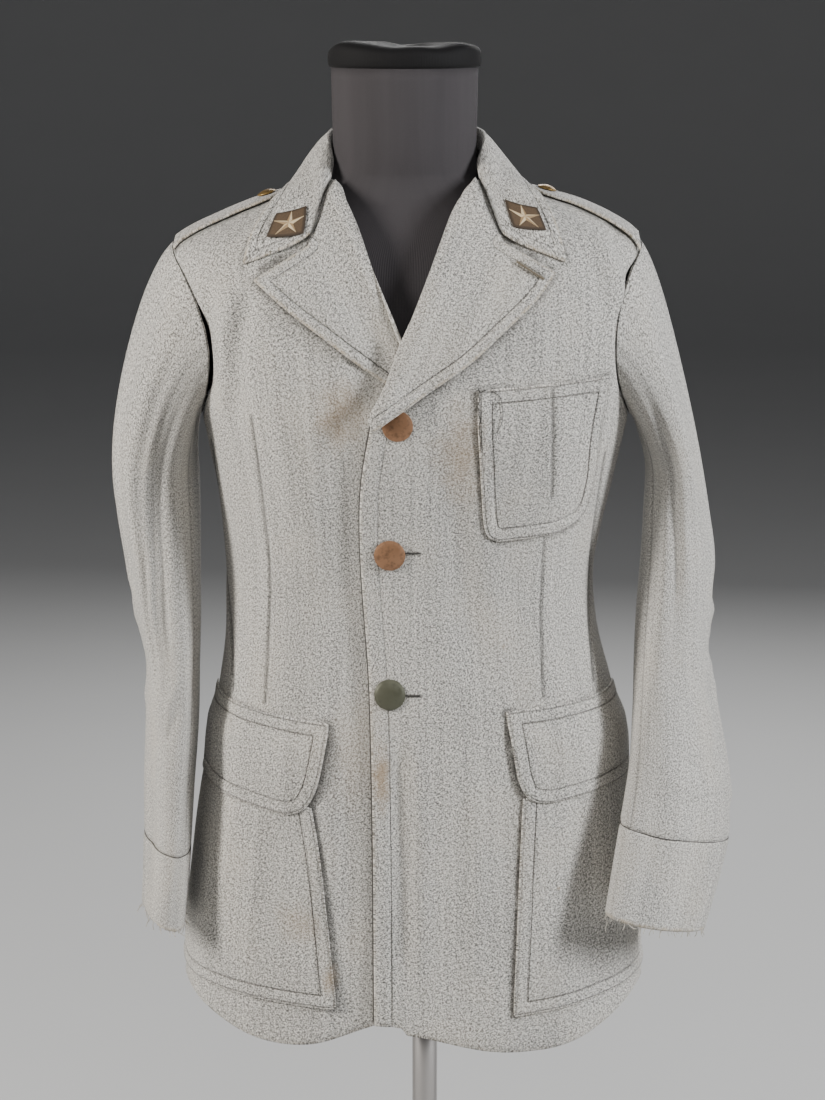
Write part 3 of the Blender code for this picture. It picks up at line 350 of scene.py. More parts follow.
ARMHOLE_TOP = 1012.0
ARMHOLE_LOW = 858.0
ARMHOLE_SPREAD = 31.0
ARMPIT_SHARE = 0.5
BACK_SEAM_SHARE = 0.8
BACK_DIP = 4.0
NECK_SIDE = 1071.0
NECK_BACK = 1082.0
HEM_FRONT = 300.0
HEM_SIDE = 334.0
HEM_SKEW = 3.0
HANG_TOP = 800.0
CUFF_SEAM = {1: 486.0, -1: 470.0}
FOLD_RADIUS = 2.4
FORM_LOW = 395.0
FORM_NECK_TOP = 1166.0
FORM_CLEAR = 14.5
SHOULDER_CLEAR = 3.6
FAR = 100.0              # distance kept where a line isn't on a piece


def smooth_step(value, low, high):
    t = np.clip((np.asarray(value, dtype=float) - low) / (high - low), 0.0, 1.0)
    return t * t * (3.0 - 2.0 * t)


def rows_at(rows, at):
    """Every column of a table at values of its first, on smooth curves."""
    table = np.array(rows, dtype=float)
    if table[0, 0] > table[-1, 0]:
        table = table[::-1]
    keys = table[:, 0]
    at = np.asarray(at, dtype=float)
    low = np.clip(np.searchsorted(keys, at, side="right") - 1, 0, len(keys) - 2)
    before = np.maximum(low - 1, 0)
    after = np.minimum(low + 2, len(keys) - 1)
    span = keys[low + 1] - keys[low]
    t = np.clip((at - keys[low]) / span, 0.0, 1.0)[..., None]
    rise_low = (table[low + 1] - table[before]) * (span / (keys[low + 1] - keys[before]))[..., None]
    rise_high = (table[after] - table[low]) * (span / (keys[after] - keys[low]))[..., None]
    value = (
        (2 * t**3 - 3 * t**2 + 1) * table[low] + (t**3 - 2 * t**2 + t) * rise_low
        + (3 * t**2 - 2 * t**3) * table[low + 1] + (t**3 - t**2) * rise_high)
    return np.moveaxis(value, -1, 0)


def along(points, shares):
    """Points at shares of a smooth line's length."""
    points = np.array(points, dtype=float)
    spans = np.concatenate(([0.0], np.cumsum(np.linalg.norm(np.diff(points, axis=0), axis=1))))
    table = np.column_stack((spans, points))
    return np.moveaxis(rows_at(table, np.asarray(shares) * spans[-1])[1:], 0, -1)


def power(value, exponent):
    return np.sign(value) * np.abs(value) ** exponent


def line_distance(x, z, line):
    """Distance to a line of points, and the share of the line that is nearest."""
    line = np.array(line, dtype=float)
    lengths = np.linalg.norm(np.diff(line, axis=0), axis=1)
    total = lengths.sum()
    best = np.full(np.shape(x), np.inf)
    share = np.zeros(np.shape(x))
    start = 0.0
    for a, b, length in zip(line, line[1:], lengths):
        t = np.clip(((x - a[0]) * (b[0] - a[0]) + (z - a[1]) * (b[1] - a[1])) / length**2, 0.0, 1.0)
        away = np.hypot(x - a[0] - t * (b[0] - a[0]), z - a[1] - t * (b[1] - a[1]))
        nearer = away < best
        best = np.where(nearer, away, best)
        share = np.where(nearer, (start + t * length) / total, share)
        start += length
    return best, share


def crease_lift(table, x, z):
    """How far small creases lift the cloth; they fade at both ends."""
    lift = np.zeros(np.shape(x))
    for depth, wide, line in table:
        away, share = line_distance(x, z, line)
        fade = smooth_step(share, 0.0, 0.25) * (1.0 - smooth_step(share, 0.75, 1.0))
        lift += depth * np.exp(-((away / wide) ** 2)) * fade
    return lift


def dart_lift(lines, x, z):
    """A sewn dart: a narrow groove with a soft swelling beside it."""
    lift = np.zeros(np.shape(x))
    for line in lines:
        away, share = line_distance(x, z, line)
        fade = smooth_step(share, 0.0, 0.06) * (1.0 - smooth_step(share, 0.94, 1.0))
        lift += (0.7 * np.exp(-((away / 7.0) ** 2)) - 1.5 * np.exp(-((away / 1.9) ** 2))) * fade
    return lift


def unevenness(u, v, size=0.3):
    """Cloth is never quite even: slow waves in two directions."""
    waves = (
        np.sin(u / 13.0 + v / 47.0 + 0.7) + np.sin(u / 21.0 - v / 33.0 + 2.1)
        + 0.8 * np.sin(u / 8.0 + v / 71.0 + 4.0) + 0.7 * np.sin(v / 17.0 + u / 60.0 + 1.3))
    return size * waves


def body_folds(angle, height):
    out = np.zeros(np.shape(angle))
    for centre, drift, top, low, depth, wide in BODY_FOLDS:
        share = np.clip((top - height) / (top - low), 0.0, 1.0)
        away = (angle - centre - drift * share) / wide
        out += depth * np.sin(np.pi * share).clip(0.0) ** 0.8 * np.exp(-away * away)
    return out


def ring_point(angle, height):
    angle, height = np.broadcast_arrays(np.asarray(angle, dtype=float), np.asarray(height, dtype=float))
    _, right, left, front, back, square = rows_at(BODY_ROWS, height)
    turn = np.radians(angle)
    sine, cosine = np.sin(turn), np.cos(turn)
    across = np.where(sine > 0, left, right) * power(sine, 2.0 / square)
    forward = -np.where(cosine > 0, front, back) * power(cosine, 2.0 / square)
    return np.stack((across, forward, height), -1)


def unit(vectors):
    return vectors / np.maximum(np.linalg.norm(vectors, axis=-1, keepdims=True), 1e-9)


def body_normal(angle, height):
    round_it = ring_point(angle + 2.0, height) - ring_point(angle - 2.0, height)
    up_it = ring_point(angle, height + 3.0) - ring_point(angle, height - 3.0)
    return unit(np.cross(round_it, up_it))


def body_point(angle, height, out=0.0, fine=True):
    """A point of the tunic's outside with its folds, moved out along the normal."""
    angle, height = np.broadcast_arrays(np.asarray(angle, dtype=float), np.asarray(height, dtype=float))
    place = ring_point(angle, height)
    away = out + body_folds(angle, height)
    if fine:
        x, z = place[..., 0], height
        front = 1.5 * crease_lift(FRONT_CREASES, x, z) + dart_lift(FRONT_DARTS, x, z)
        rear = 1.5 * crease_lift(BACK_CREASES, x, z) + dart_lift(BACK_DARTS, x, z)
        away = away + np.where(np.abs(angle) < 95.0, front, 0.0) + np.where(np.abs(angle) > 95.0, rear, 0.0)
        away = away + unevenness(angle * 2.4, height) * (1.0 - smooth_step(height, 1000.0, 1050.0))
    return place + body_normal(angle, height) * away[..., None]


def front_angle(across, height):
    _, right, left, _, _, square = rows_at(BODY_ROWS, height)
    wide = np.where(across > 0, left, right)
    share = np.minimum(np.abs(across) / wide, 1.0)
    return np.sign(across) * np.degrees(np.arcsin(share ** (square / 2.0)))


def front_point(across, height, out=0.0):
    across, height = np.asarray(across, dtype=float), np.asarray(height, dtype=float)
    return body_point(front_angle(across, height), height, out)


def top_point(across, deep, out=0.0):
    """A point on the shoulder above a place in plan."""
    across, deep = np.broadcast_arrays(np.asarray(across, dtype=float), np.asarray(deep, dtype=float))
    low = np.full(across.shape, 930.0)
    high = np.full(across.shape, 1100.0)
    for _ in range(40):
        middle = (low + high) / 2.0
        _, right, left, front, back, square = rows_at(BODY_ROWS, middle)
        wide = np.where(across > 0, left, right)
        depth = np.where(deep < 0, front, back)
        inside = (np.abs(across) / wide) ** square + (np.abs(deep) / depth) ** square < 1.0
        low, high = np.where(inside, middle, low), np.where(inside, high, middle)
    _, right, left, front, back, square = rows_at(BODY_ROWS, low)
    depth = np.where(deep < 0, front, back)
    angle = np.degrees(np.arccos(np.minimum(np.abs(deep) / depth, 1.0) ** (square / 2.0)))
    angle = np.where(deep > 0, 180.0 - angle, angle)
    return body_point(np.where(across < 0, -angle, angle), low, out, fine=False)


def patch_between(bottom, top, inner, outer):
    """A four-sided patch between four lines of points."""
    v = np.linspace(0.0, 1.0, len(inner))[:, None, None]
    u = np.linspace(0.0, 1.0, len(bottom))[None, :, None]
    return blend_lines(bottom, top, inner, outer, u, v)


def blend_lines(bottom, top, inner, outer, u, v):
    corners = (
        (1 - u) * (1 - v) * bottom[0] + u * (1 - v) * bottom[-1] + (1 - u) * v * top[0] + u * v * top[-1])
    return (
        (1 - v) * bottom[None] + v * top[None] + (1 - u) * inner[:, None] + u * outer[:, None] - corners)


def hem_height(angle):
    rise = smooth_step(np.abs(angle), 30.0, 82.0)
    front = HEM_FRONT + np.where(angle < 0, HEM_SKEW, -HEM_SKEW)
    return front + (HEM_SIDE - front) * rise


def armhole_place(turn):
    """Angle and height on the body; turn 0 is the shoulder, 90 the back."""
    middle = (ARMHOLE_TOP + ARMHOLE_LOW) / 2.0
    half = (ARMHOLE_TOP - ARMHOLE_LOW) / 2.0
    spin = np.radians(turn)
    return 90.0 + ARMHOLE_SPREAD * np.sin(spin), middle + half * np.cos(spin)


def outer_line(shares, side, way):
    """Side seam, then armhole; way is -1 on a front and 1 on a back."""
    low = HEM_SIDE + (ARMHOLE_LOW - HEM_SIDE) * np.minimum(shares / ARMPIT_SHARE, 1.0)
    seam = 90.0 + 7.0 * smooth_step(ARMHOLE_LOW - low, 0.0, 500.0)
    turn = way * 180.0 * (1.0 - np.clip((shares - ARMPIT_SHARE) / (1.0 - ARMPIT_SHARE), 0.0, 1.0))
    angle, height = armhole_place(turn)
    below = shares < ARMPIT_SHARE
    return np.stack((side * np.where(below, seam, angle), np.where(below, low, height)), -1)


def inset_grid(grid, gap):
    """Draws a grid of angle and height in by a gap in millimetres all round."""
    result = grid.copy()
    places = ring_point(grid[..., 0], grid[..., 1])
    for ends, step in ((0, 1), (-1, -2)):
        length = np.linalg.norm(places[:, step] - places[:, ends], axis=-1)[:, None]
        result[:, ends] += (grid[:, step] - grid[:, ends]) * gap / length
        length = np.linalg.norm(places[step] - places[ends], axis=-1)[:, None]
        result[ends] += (grid[step] - grid[ends]) * gap / length
    return result


def front_grid(side, edge, roll, across, below, above):
    shares = np.concatenate((
        np.linspace(0.0, ARMPIT_SHARE, below, endpoint=False), np.linspace(ARMPIT_SHARE, 1.0, above)))
    low = along(edge, np.minimum(shares / ARMPIT_SHARE, 1.0))
    high = along(roll, np.clip((shares - ARMPIT_SHARE) / (1.0 - ARMPIT_SHARE), 0.0, 1.0))
    line = np.where((shares < ARMPIT_SHARE)[:, None], low, high)
    inner = np.stack((front_angle(line[:, 0], line[:, 1]), line[:, 1]), -1)
    outer = outer_line(shares, side, -1)
    u = np.linspace(0.0, 1.0, across)
    angle = inner[0, 0] + (outer[0, 0] - inner[0, 0]) * u
    rise = (edge[0][1] - hem_height(inner[0, 0])) * (1.0 - smooth_step(u, 0.0, 0.34)) ** 1.6
    bottom = np.stack((angle, hem_height(angle) + rise), -1)
    top = inner[-1] + (outer[-1] - inner[-1]) * u[:, None]
    grid = blend_lines(bottom, top, inner, outer, u[None, :, None], shares[:, None, None])
    return inset_grid(grid, SEAM / 2.0)


def back_grid(side, across, below, above):
    shares = np.concatenate((
        np.linspace(0.0, ARMPIT_SHARE, below, endpoint=False), np.linspace(ARMPIT_SHARE, 1.0, above)))
    low = HEM_SIDE - BACK_DIP
    t = np.clip((shares - BACK_SEAM_SHARE) / (1.0 - BACK_SEAM_SHARE), 0.0, 1.0)
    seam = low + (NECK_BACK - low) * shares / BACK_SEAM_SHARE
    neck = NECK_BACK - (NECK_BACK - NECK_SIDE) * smooth_step(t, 0.1, 1.0)
    inner = np.stack((side * (180.0 - 90.0 * t), np.where(t > 0, neck, seam)), -1)
    outer = outer_line(shares, side, 1)
    u = np.linspace(0.0, 1.0, across)
    bottom = np.stack((side * 180.0 + (outer[0, 0] - side * 180.0) * u, low + BACK_DIP * u), -1)
    top = np.stack((np.full(across, side * 90.0), NECK_SIDE + (outer[-1, 1] - NECK_SIDE) * u), -1)
    grid = blend_lines(bottom, top, inner, outer, u[None, :, None], shares[:, None, None])
    return inset_grid(grid, SEAM / 2.0)


def underlap_depth(across, height):
    """How far inside the right front lies, so that the left front covers it."""
    deep = 4.4 + 5.0 * smooth_step(height, 845.0, 905.0)
    edge = -40.0 + 26.0 * smooth_step(height, 850.0, 900.0) - 40.0 * smooth_step(height, 930.0, 1000.0)
    fade = 1.0 - smooth_step(height, 940.0, 1030.0)
    return -deep * smooth_step(across - edge, -45.0, -6.0) * fade


def button_lift(x, z):
    """The left lapel rises over the first button, which it half covers."""
    away = np.hypot(x - BUTTONS[0][1], z - BUTTONS[0][2])
    return 6.2 * (1.0 - smooth_step(away, 15.0, 40.0))


def sleeve_lift(folds, creases, turn, height):
    out = np.zeros(np.shape(turn))
    for centre, drift, top, low, depth, wide in folds:
        share = np.clip((top - height) / (top - low), 0.0, 1.0)
        away = (turn - centre - drift * share + 180.0) % 360.0 - 180.0
        out += depth * np.sin(np.pi * share).clip(0.0) ** 0.8 * np.exp(-((away / wide) ** 2))
    around = (turn + 180.0) % 360.0 - 180.0
    return out + 1.3 * crease_lift(creases, around, height)


def sleeve_ring(rows, folds, creases, side, turn, height):
    """A point of the hanging sleeve; turn 0 is its outer side, 90 its back."""
    turn, height = np.broadcast_arrays(np.asarray(turn, dtype=float), np.asarray(height, dtype=float))
    _, outer, inner, middle, deep, skew, slope = rows_at(rows, height)
    spin = np.radians(turn)
    out = sleeve_lift(folds, creases, turn, height)
    across = ((outer - inner) / 2.0 + out) * np.cos(spin)
    forward = middle + (deep + out) * np.sin(spin + np.radians(skew))
    centre = (outer + inner) / 2.0
    return np.stack((side * (centre + across), forward, height - slope * across), -1)


def sleeve_head(rows, folds, creases, side, turn, share):
    """A point between the armhole, at share 0, and the hanging sleeve, at share 1."""
    turn, share = np.broadcast_arrays(np.asarray(turn, dtype=float), np.asarray(share, dtype=float))
    angle, height = armhole_place(turn)
    angle = angle * side
    start = body_point(angle, height, fine=False)
    normal = body_normal(angle, height)
    crown = ((1.0 + np.cos(np.radians(turn))) / 2.0)[..., None]
    outward = np.concatenate((np.full(crown.shape, float(side)), np.zeros(crown.shape), -0.84 + 0.5 * crown), -1)
    leave = unit(outward - normal * (outward * normal).sum(-1, keepdims=True) * crown * 0.9)
    start = start + leave * (SEAM + 0.35)
    end = sleeve_ring(rows, folds, creases, side, turn, HANG_TOP)
    below = sleeve_ring(rows, folds, creases, side, turn, HANG_TOP - 12.0)
    down = unit(below - end)
    reach = np.linalg.norm(end - start, axis=-1, keepdims=True)
    t = share[..., None]
    pull_start = leave * reach * (0.5 + 0.06 * crown)
    pull_end = down * reach * (0.95 - 0.05 * crown)
    place = (
        (2 * t**3 - 3 * t**2 + 1) * start + (t**3 - 2 * t**2 + t) * pull_start
        + (3 * t**2 - 2 * t**3) * end + (t**3 - t**2) * pull_end)
    return place


def refine(grid, up, across):
    """A grid with more rows and columns on smooth curves through its points."""
    rows = grid.shape[0]
    keys = np.arange(rows, dtype=float)
    table = np.column_stack((keys, grid.reshape(rows, -1)))
    finer = np.moveaxis(rows_at(table, np.linspace(0, rows - 1, (rows - 1) * up + 1))[1:], 0, -1)
    finer = finer.reshape(-1, grid.shape[1], 3)
    if across == 1:
        return finer
    return refine(finer.transpose(1, 0, 2), across, 1).transpose(1, 0, 2)


def grid_normals(grid, around=False):
    """Normals of a grid of points, from its neighbours."""
    if around:
        side = np.roll(grid, -1, axis=1) - np.roll(grid, 1, axis=1)
    else:
        side = np.gradient(grid, axis=1)
    return unit(np.cross(side, np.gradient(grid, axis=0)))


def nearest_distance(points, line):
    """Distance of every point from a line of points in space."""
    best = np.full(points.shape[:-1], np.inf)
    for a, b in zip(line, line[1:]):
        way = b - a
        t = np.clip(((points - a) @ way) / max(way @ way, 1e-9), 0.0, 1.0)
        best = np.minimum(best, np.linalg.norm(points - a - t[..., None] * way, axis=-1))
    return best


def in_metres(points):
    return (np.asarray(points, dtype=float) - (POLE_X, 0.0, 0.0)) * MM


def tunic_collection():
    name = "tunic_look"
    group = bpy.data.collections.get(name)
    if group is None:
        group = bpy.data.collections.new(name)
        bpy.context.scene.collection.children.link(group)
    return group


def new_object(name, mesh):
    thing = bpy.data.objects.new(name, mesh)
    tunic_collection().objects.link(thing)
    return thing


def place_piece(thing, nodes=()):
    """The piece moves with the part and stands for its nodes, which it hides."""
    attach(thing, "root")
    if nodes:
        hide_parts(*nodes)
    return thing


def signed_volume(points, faces):
    a, b, c, d = (points[faces[:, k]] for k in range(4))
    return float((np.cross(a, b) * c).sum() + (np.cross(a, c) * d).sum())


def cloth_mesh(name, outside, inside, uv, marks, material, around=False, roll=0.6):
    """A thin closed wall between two grids, with a rolled edge along its borders."""
    up, wide = outside.shape[0], outside.shape[1]
    count = up * wide
    uv_wide = uv.shape[1]
    j, i = np.meshgrid(np.arange(up - 1), np.arange(wide if around else wide - 1), indexing="ij")
    corners = ((j, i), (j, i + 1), (j + 1, i + 1), (j + 1, i))
    skin = np.stack([a * wide + b % wide for a, b in corners], -1).reshape(-1, 4)
    skin_uv = np.stack([a * uv_wide + b for a, b in corners], -1).reshape(-1, 4)
    if around:
        run = np.arange(wide)
        loops = [
            ([(0, k) for k in run], [(0, k + 1) for k in run], 1),
            ([(up - 1, k + 1) for k in run[::-1]], [(up - 1, k) for k in run[::-1]], up - 2)]
    else:
        path = [(0, k) for k in range(wide)] + [(k, wide - 1) for k in range(1, up)]
        path += [(up - 1, k) for k in range(wide - 2, -1, -1)] + [(k, 0) for k in range(up - 2, 0, -1)]
        loops = [(path, path[1:] + path[:1], None)]
    points = [outside.reshape(-1, 3), inside.reshape(-1, 3)]
    faces = [skin, (skin + count)[:, ::-1]]
    face_uv = [skin_uv, skin_uv[:, ::-1]]
    total = 2 * count
    source = [np.arange(count), np.arange(count)]
    for starts, ends, inner_row in loops:
        starts, ends = np.array(starts), np.array(ends)
        j, i = starts[:, 0], starts[:, 1] % wide
        nj = np.full(j.shape, inner_row) if inner_row is not None else np.clip(j, 1, up - 2)
        ni = i if around else np.clip(i, 1, wide - 2)
        middle = (outside[j, i] + inside[j, i]) / 2.0
        thick = np.linalg.norm(outside[j, i] - inside[j, i], axis=-1, keepdims=True)
        away = unit(middle - (outside[nj, ni] + inside[nj, ni]) / 2.0)
        points.append(middle + away * thick * roll)
        here = starts[:, 0] * wide + starts[:, 1] % wide
        there = ends[:, 0] * wide + ends[:, 1] % wide
        uv_here = starts[:, 0] * uv_wide + starts[:, 1]
        uv_there = ends[:, 0] * uv_wide + ends[:, 1]
        rim = total + np.arange(len(starts))
        rim_next = np.roll(rim, -1)
        faces.append(np.stack((there, here, rim, rim_next), -1))
        faces.append(np.stack((rim_next, rim, here + count, there + count), -1))
        face_uv.append(np.stack((uv_there, uv_here, uv_here, uv_there), -1))
        face_uv.append(np.stack((uv_there, uv_here, uv_here, uv_there), -1))
        source.append(here)
        total += len(starts)
    points, faces, face_uv = np.concatenate(points), np.concatenate(faces), np.concatenate(face_uv)
    if signed_volume(points, faces) < 0.0:
        faces, face_uv = faces[:, ::-1], face_uv[:, ::-1]
    mesh = bpy.data.meshes.new(name)
    mesh.from_pydata(in_metres(points).tolist(), [], faces.tolist())
    mesh.shade_smooth()
    layer = mesh.uv_layers.new(name="cloth")
    layer.data.foreach_set("uv", (uv.reshape(-1, 2)[face_uv.reshape(-1)] * MM).astype(np.float32).ravel())
    source = np.concatenate(source)
    for label in ("edge", "rim", "seam", "near"):
        values = marks.get(label)
        values = np.full(count, FAR) if values is None else np.minimum(values, FAR).reshape(-1)
        mark = mesh.attributes.new(label, "FLOAT", "POINT")
        mark.data.foreach_set("value", values[source].astype(np.float32))
    mesh.materials.append(material)
    return new_object(name, mesh)


def sew_on(thing, node):
    """Puts a cloth piece in its solid's place, moving with the part."""
    place_piece(thing, (node,))


class NodeBench:
    """Adds nodes to a tree from left to right and links their inputs."""

    def __init__(self, tree):
        self.tree = tree
        self.count = 0

    def add(self, kind, inputs=None, **settings):
        node = self.tree.nodes.new(kind)
        node.location = (self.count % 12 * 190, -(self.count // 12) * 320)
        self.count += 1
        for key, value in settings.items():
            setattr(node, key, value)
        for key, value in (inputs or {}).items():
            if isinstance(value, bpy.types.NodeSocket):
                self.tree.links.new(value, node.inputs[key])
            else:
                node.inputs[key].default_value = value
        return node

    def math(self, operation, a, b=0.0, c=0.0):
        inputs = {0: a, 1: b} if operation not in ("MULTIPLY_ADD", "WRAP") else {0: a, 1: b, 2: c}
        return self.add("ShaderNodeMath", inputs, operation=operation).outputs[0]

    def ramp(self, value, low, high, to_low=0.0, to_high=1.0):
        node = self.add("ShaderNodeMapRange", {
            "Value": value, "From Min": low, "From Max": high, "To Min": to_low, "To Max": to_high})
        return node.outputs[0]

    def mix(self, share, a, b, blend="MIX"):
        node = self.add("ShaderNodeMix", data_type="RGBA", blend_type=blend)
        for index, value in ((0, share), (6, a), (7, b)):
            if isinstance(value, bpy.types.NodeSocket):
                self.tree.links.new(value, node.inputs[index])
            else:
                node.inputs[index].default_value = value
        return node.outputs[2]

    def scaled(self, vector, factors):
        return self.add("ShaderNodeVectorMath", {0: vector, 1: factors}, operation="MULTIPLY").outputs[0]

    def noise(self, vector, scale=1.0, detail=2.0, roughness=0.5):
        node = self.add("ShaderNodeTexNoise", {
            "Vector": vector, "Scale": scale, "Detail": detail, "Roughness": roughness})
        return node.outputs[0]


def shader_group(name, inputs, outputs):
    """A new shader node group; returns its bench, its inputs and its output node."""
    tree = bpy.data.node_groups.new(name, "ShaderNodeTree")
    for label, kind, value in inputs:
        socket = tree.interface.new_socket(label, in_out="INPUT", socket_type=kind)
        if value is not None:
            socket.default_value = value
    for label, kind in outputs:
        tree.interface.new_socket(label, in_out="OUTPUT", socket_type=kind)
    bench = NodeBench(tree)
    entry = bench.add("NodeGroupInput")
    return bench, entry.outputs, bench.add("NodeGroupOutput")


def melange_group():
    """Salt-and-pepper wool: specks that lean with the twill, faint stripes, slow mottling."""
    tree = bpy.data.node_groups.get("melange_wool")
    if tree:
        return tree
    bench, given, result = shader_group(
        "melange_wool",
        (("Vector", "NodeSocketVector", None), ("Light", "NodeSocketColor", None), ("Dark", "NodeSocketColor", None),
         ("Warm", "NodeSocketColor", None), ("Contrast", "NodeSocketFloat", 1.0)),
        (("Color", "NodeSocketColor"), ("Height", "NodeSocketFloat")))
    lean = bench.add("ShaderNodeVectorRotate", {"Vector": given["Vector"], "Angle": math.radians(28.0)},
                     rotation_type="Z_AXIS").outputs[0]
    weft = bench.noise(bench.scaled(lean, (640.0, 1700.0, 1.0)), 1.0, 2.0, 0.6)
    warp = bench.noise(bench.scaled(lean, (1700.0, 640.0, 1.0)), 1.0, 2.0, 0.6)
    specks = bench.math("MULTIPLY", bench.math("ADD", weft, warp), 0.5)
    blobs = bench.noise(bench.scaled(lean, (600.0, 380.0, 1.0)), 1.0, 2.0, 0.55)
    stripes = bench.noise(bench.scaled(given["Vector"], (210.0, 3.0, 1.0)), 1.0, 2.0, 0.6)
    clouds = bench.noise(bench.scaled(given["Vector"], (17.0, 11.0, 1.0)), 1.0, 3.0, 0.5)
    spread = bench.math("MULTIPLY", bench.math("SUBTRACT", specks, 0.5), 8.0)
    spread = bench.math("MULTIPLY_ADD", bench.math("SUBTRACT", blobs, 0.5), 2.2, spread)
    spread = bench.math("MULTIPLY_ADD", bench.math("SUBTRACT", stripes, 0.5), 0.55, spread)
    spread = bench.math("MULTIPLY_ADD", bench.math("SUBTRACT", clouds, 0.5), 0.3, spread)
    share = bench.math("MULTIPLY_ADD", spread, given["Contrast"], 0.5)
    share = bench.add("ShaderNodeClamp", {"Value": share}).outputs[0]
    colour = bench.mix(share, given["Dark"], given["Light"])
    warmth = bench.ramp(clouds, 0.5, 0.75, 0.0, 0.3)
    colour = bench.mix(warmth, colour, bench.mix(0.5, colour, given["Warm"]))
    bench.tree.links.new(colour, result.inputs["Color"])
    height = bench.math("MULTIPLY_ADD", blobs, 0.6, specks)
    bench.tree.links.new(height, result.inputs["Height"])
    return bench.tree


def sewn_group():
    """Where sewn lines run at one or two distances from an edge, and their dips."""
    tree = bpy.data.node_groups.get("sewn_lines")
    if tree:
        return tree
    bench, given, result = shader_group(
        "sewn_lines",
        (("Distance", "NodeSocketFloat", FAR), ("First", "NodeSocketFloat", 9.0),
         ("Second", "NodeSocketFloat", 9.0), ("Width", "NodeSocketFloat", 0.8)),
        (("Mask", "NodeSocketFloat"),))
    masks = []
    for label in ("First", "Second"):
        away = bench.math("ABSOLUTE", bench.math("SUBTRACT", given["Distance"], given[label]))
        masks.append(bench.math("SUBTRACT", 1.0, bench.math("DIVIDE", away, given["Width"])))
    line = bench.add("ShaderNodeClamp", {"Value": bench.math("MAXIMUM", masks[0], masks[1])}).outputs[0]
    bench.tree.links.new(line, result.inputs["Mask"])
    return bench.tree


def stain_group():
    """An uneven spot round a place on the object."""
    tree = bpy.data.node_groups.get("cloth_stain")
    if tree:
        return tree
    bench, given, result = shader_group(
        "cloth_stain",
        (("Vector", "NodeSocketVector", None), ("Centre", "NodeSocketVector", None), ("Size", "NodeSocketVector", None),
         ("Strength", "NodeSocketFloat", 0.5)),
        (("Mask", "NodeSocketFloat"),))
    local = bench.add("ShaderNodeVectorMath", {0: given["Vector"], 1: given["Centre"]}, operation="SUBTRACT").outputs[0]
    local = bench.add("ShaderNodeVectorMath", {0: local, 1: given["Size"]}, operation="DIVIDE").outputs[0]
    away = bench.add("ShaderNodeVectorMath", {0: local}, operation="LENGTH").outputs["Value"]
    rough = bench.noise(given["Vector"], 70.0, 3.0, 0.6)
    away = bench.math("MULTIPLY_ADD", bench.math("SUBTRACT", rough, 0.5), 1.3, away)
    spot = bench.ramp(away, 1.0, 0.15)
    bench.tree.links.new(bench.math("MULTIPLY", spot, given["Strength"]), result.inputs["Mask"])
    return bench.tree


def patina_group():
    """Metal with tarnish in patches and fine scratches."""
    tree = bpy.data.node_groups.get("metal_patina")
    if tree:
        return tree
    bench, given, result = shader_group(
        "metal_patina",
        (("Vector", "NodeSocketVector", None), ("Metal", "NodeSocketColor", None), ("Tarnish", "NodeSocketColor", None),
         ("Share", "NodeSocketFloat", 0.5)),
        (("Color", "NodeSocketColor"), ("Roughness", "NodeSocketFloat"), ("Height", "NodeSocketFloat")))
    patches = bench.noise(given["Vector"], 190.0, 4.0, 0.65)
    grain = bench.noise(given["Vector"], 1400.0, 2.0, 0.6)
    low = bench.math("SUBTRACT", 0.78, bench.math("MULTIPLY", given["Share"], 0.5))
    mask = bench.add("ShaderNodeMapRange", {"Value": patches, "From Min": low, "From Max": bench.math("ADD", low, 0.16)})
    bench.tree.links.new(bench.mix(mask.outputs[0], given["Metal"], given["Tarnish"]), result.inputs["Color"])
    bench.tree.links.new(bench.ramp(patches, 0.3, 0.7, 0.3, 0.6), result.inputs["Roughness"])
    bench.tree.links.new(bench.math("MULTIPLY_ADD", grain, 0.4, patches), result.inputs["Height"])
    return bench.tree


def four(colour):
    return (colour[0], colour[1], colour[2], 1.0)


def new_material(name):
    material = bpy.data.materials.new(name)
    material.use_nodes = True
    shader = material.node_tree.nodes["Principled BSDF"]
    return material, shader, NodeBench(material.node_tree)


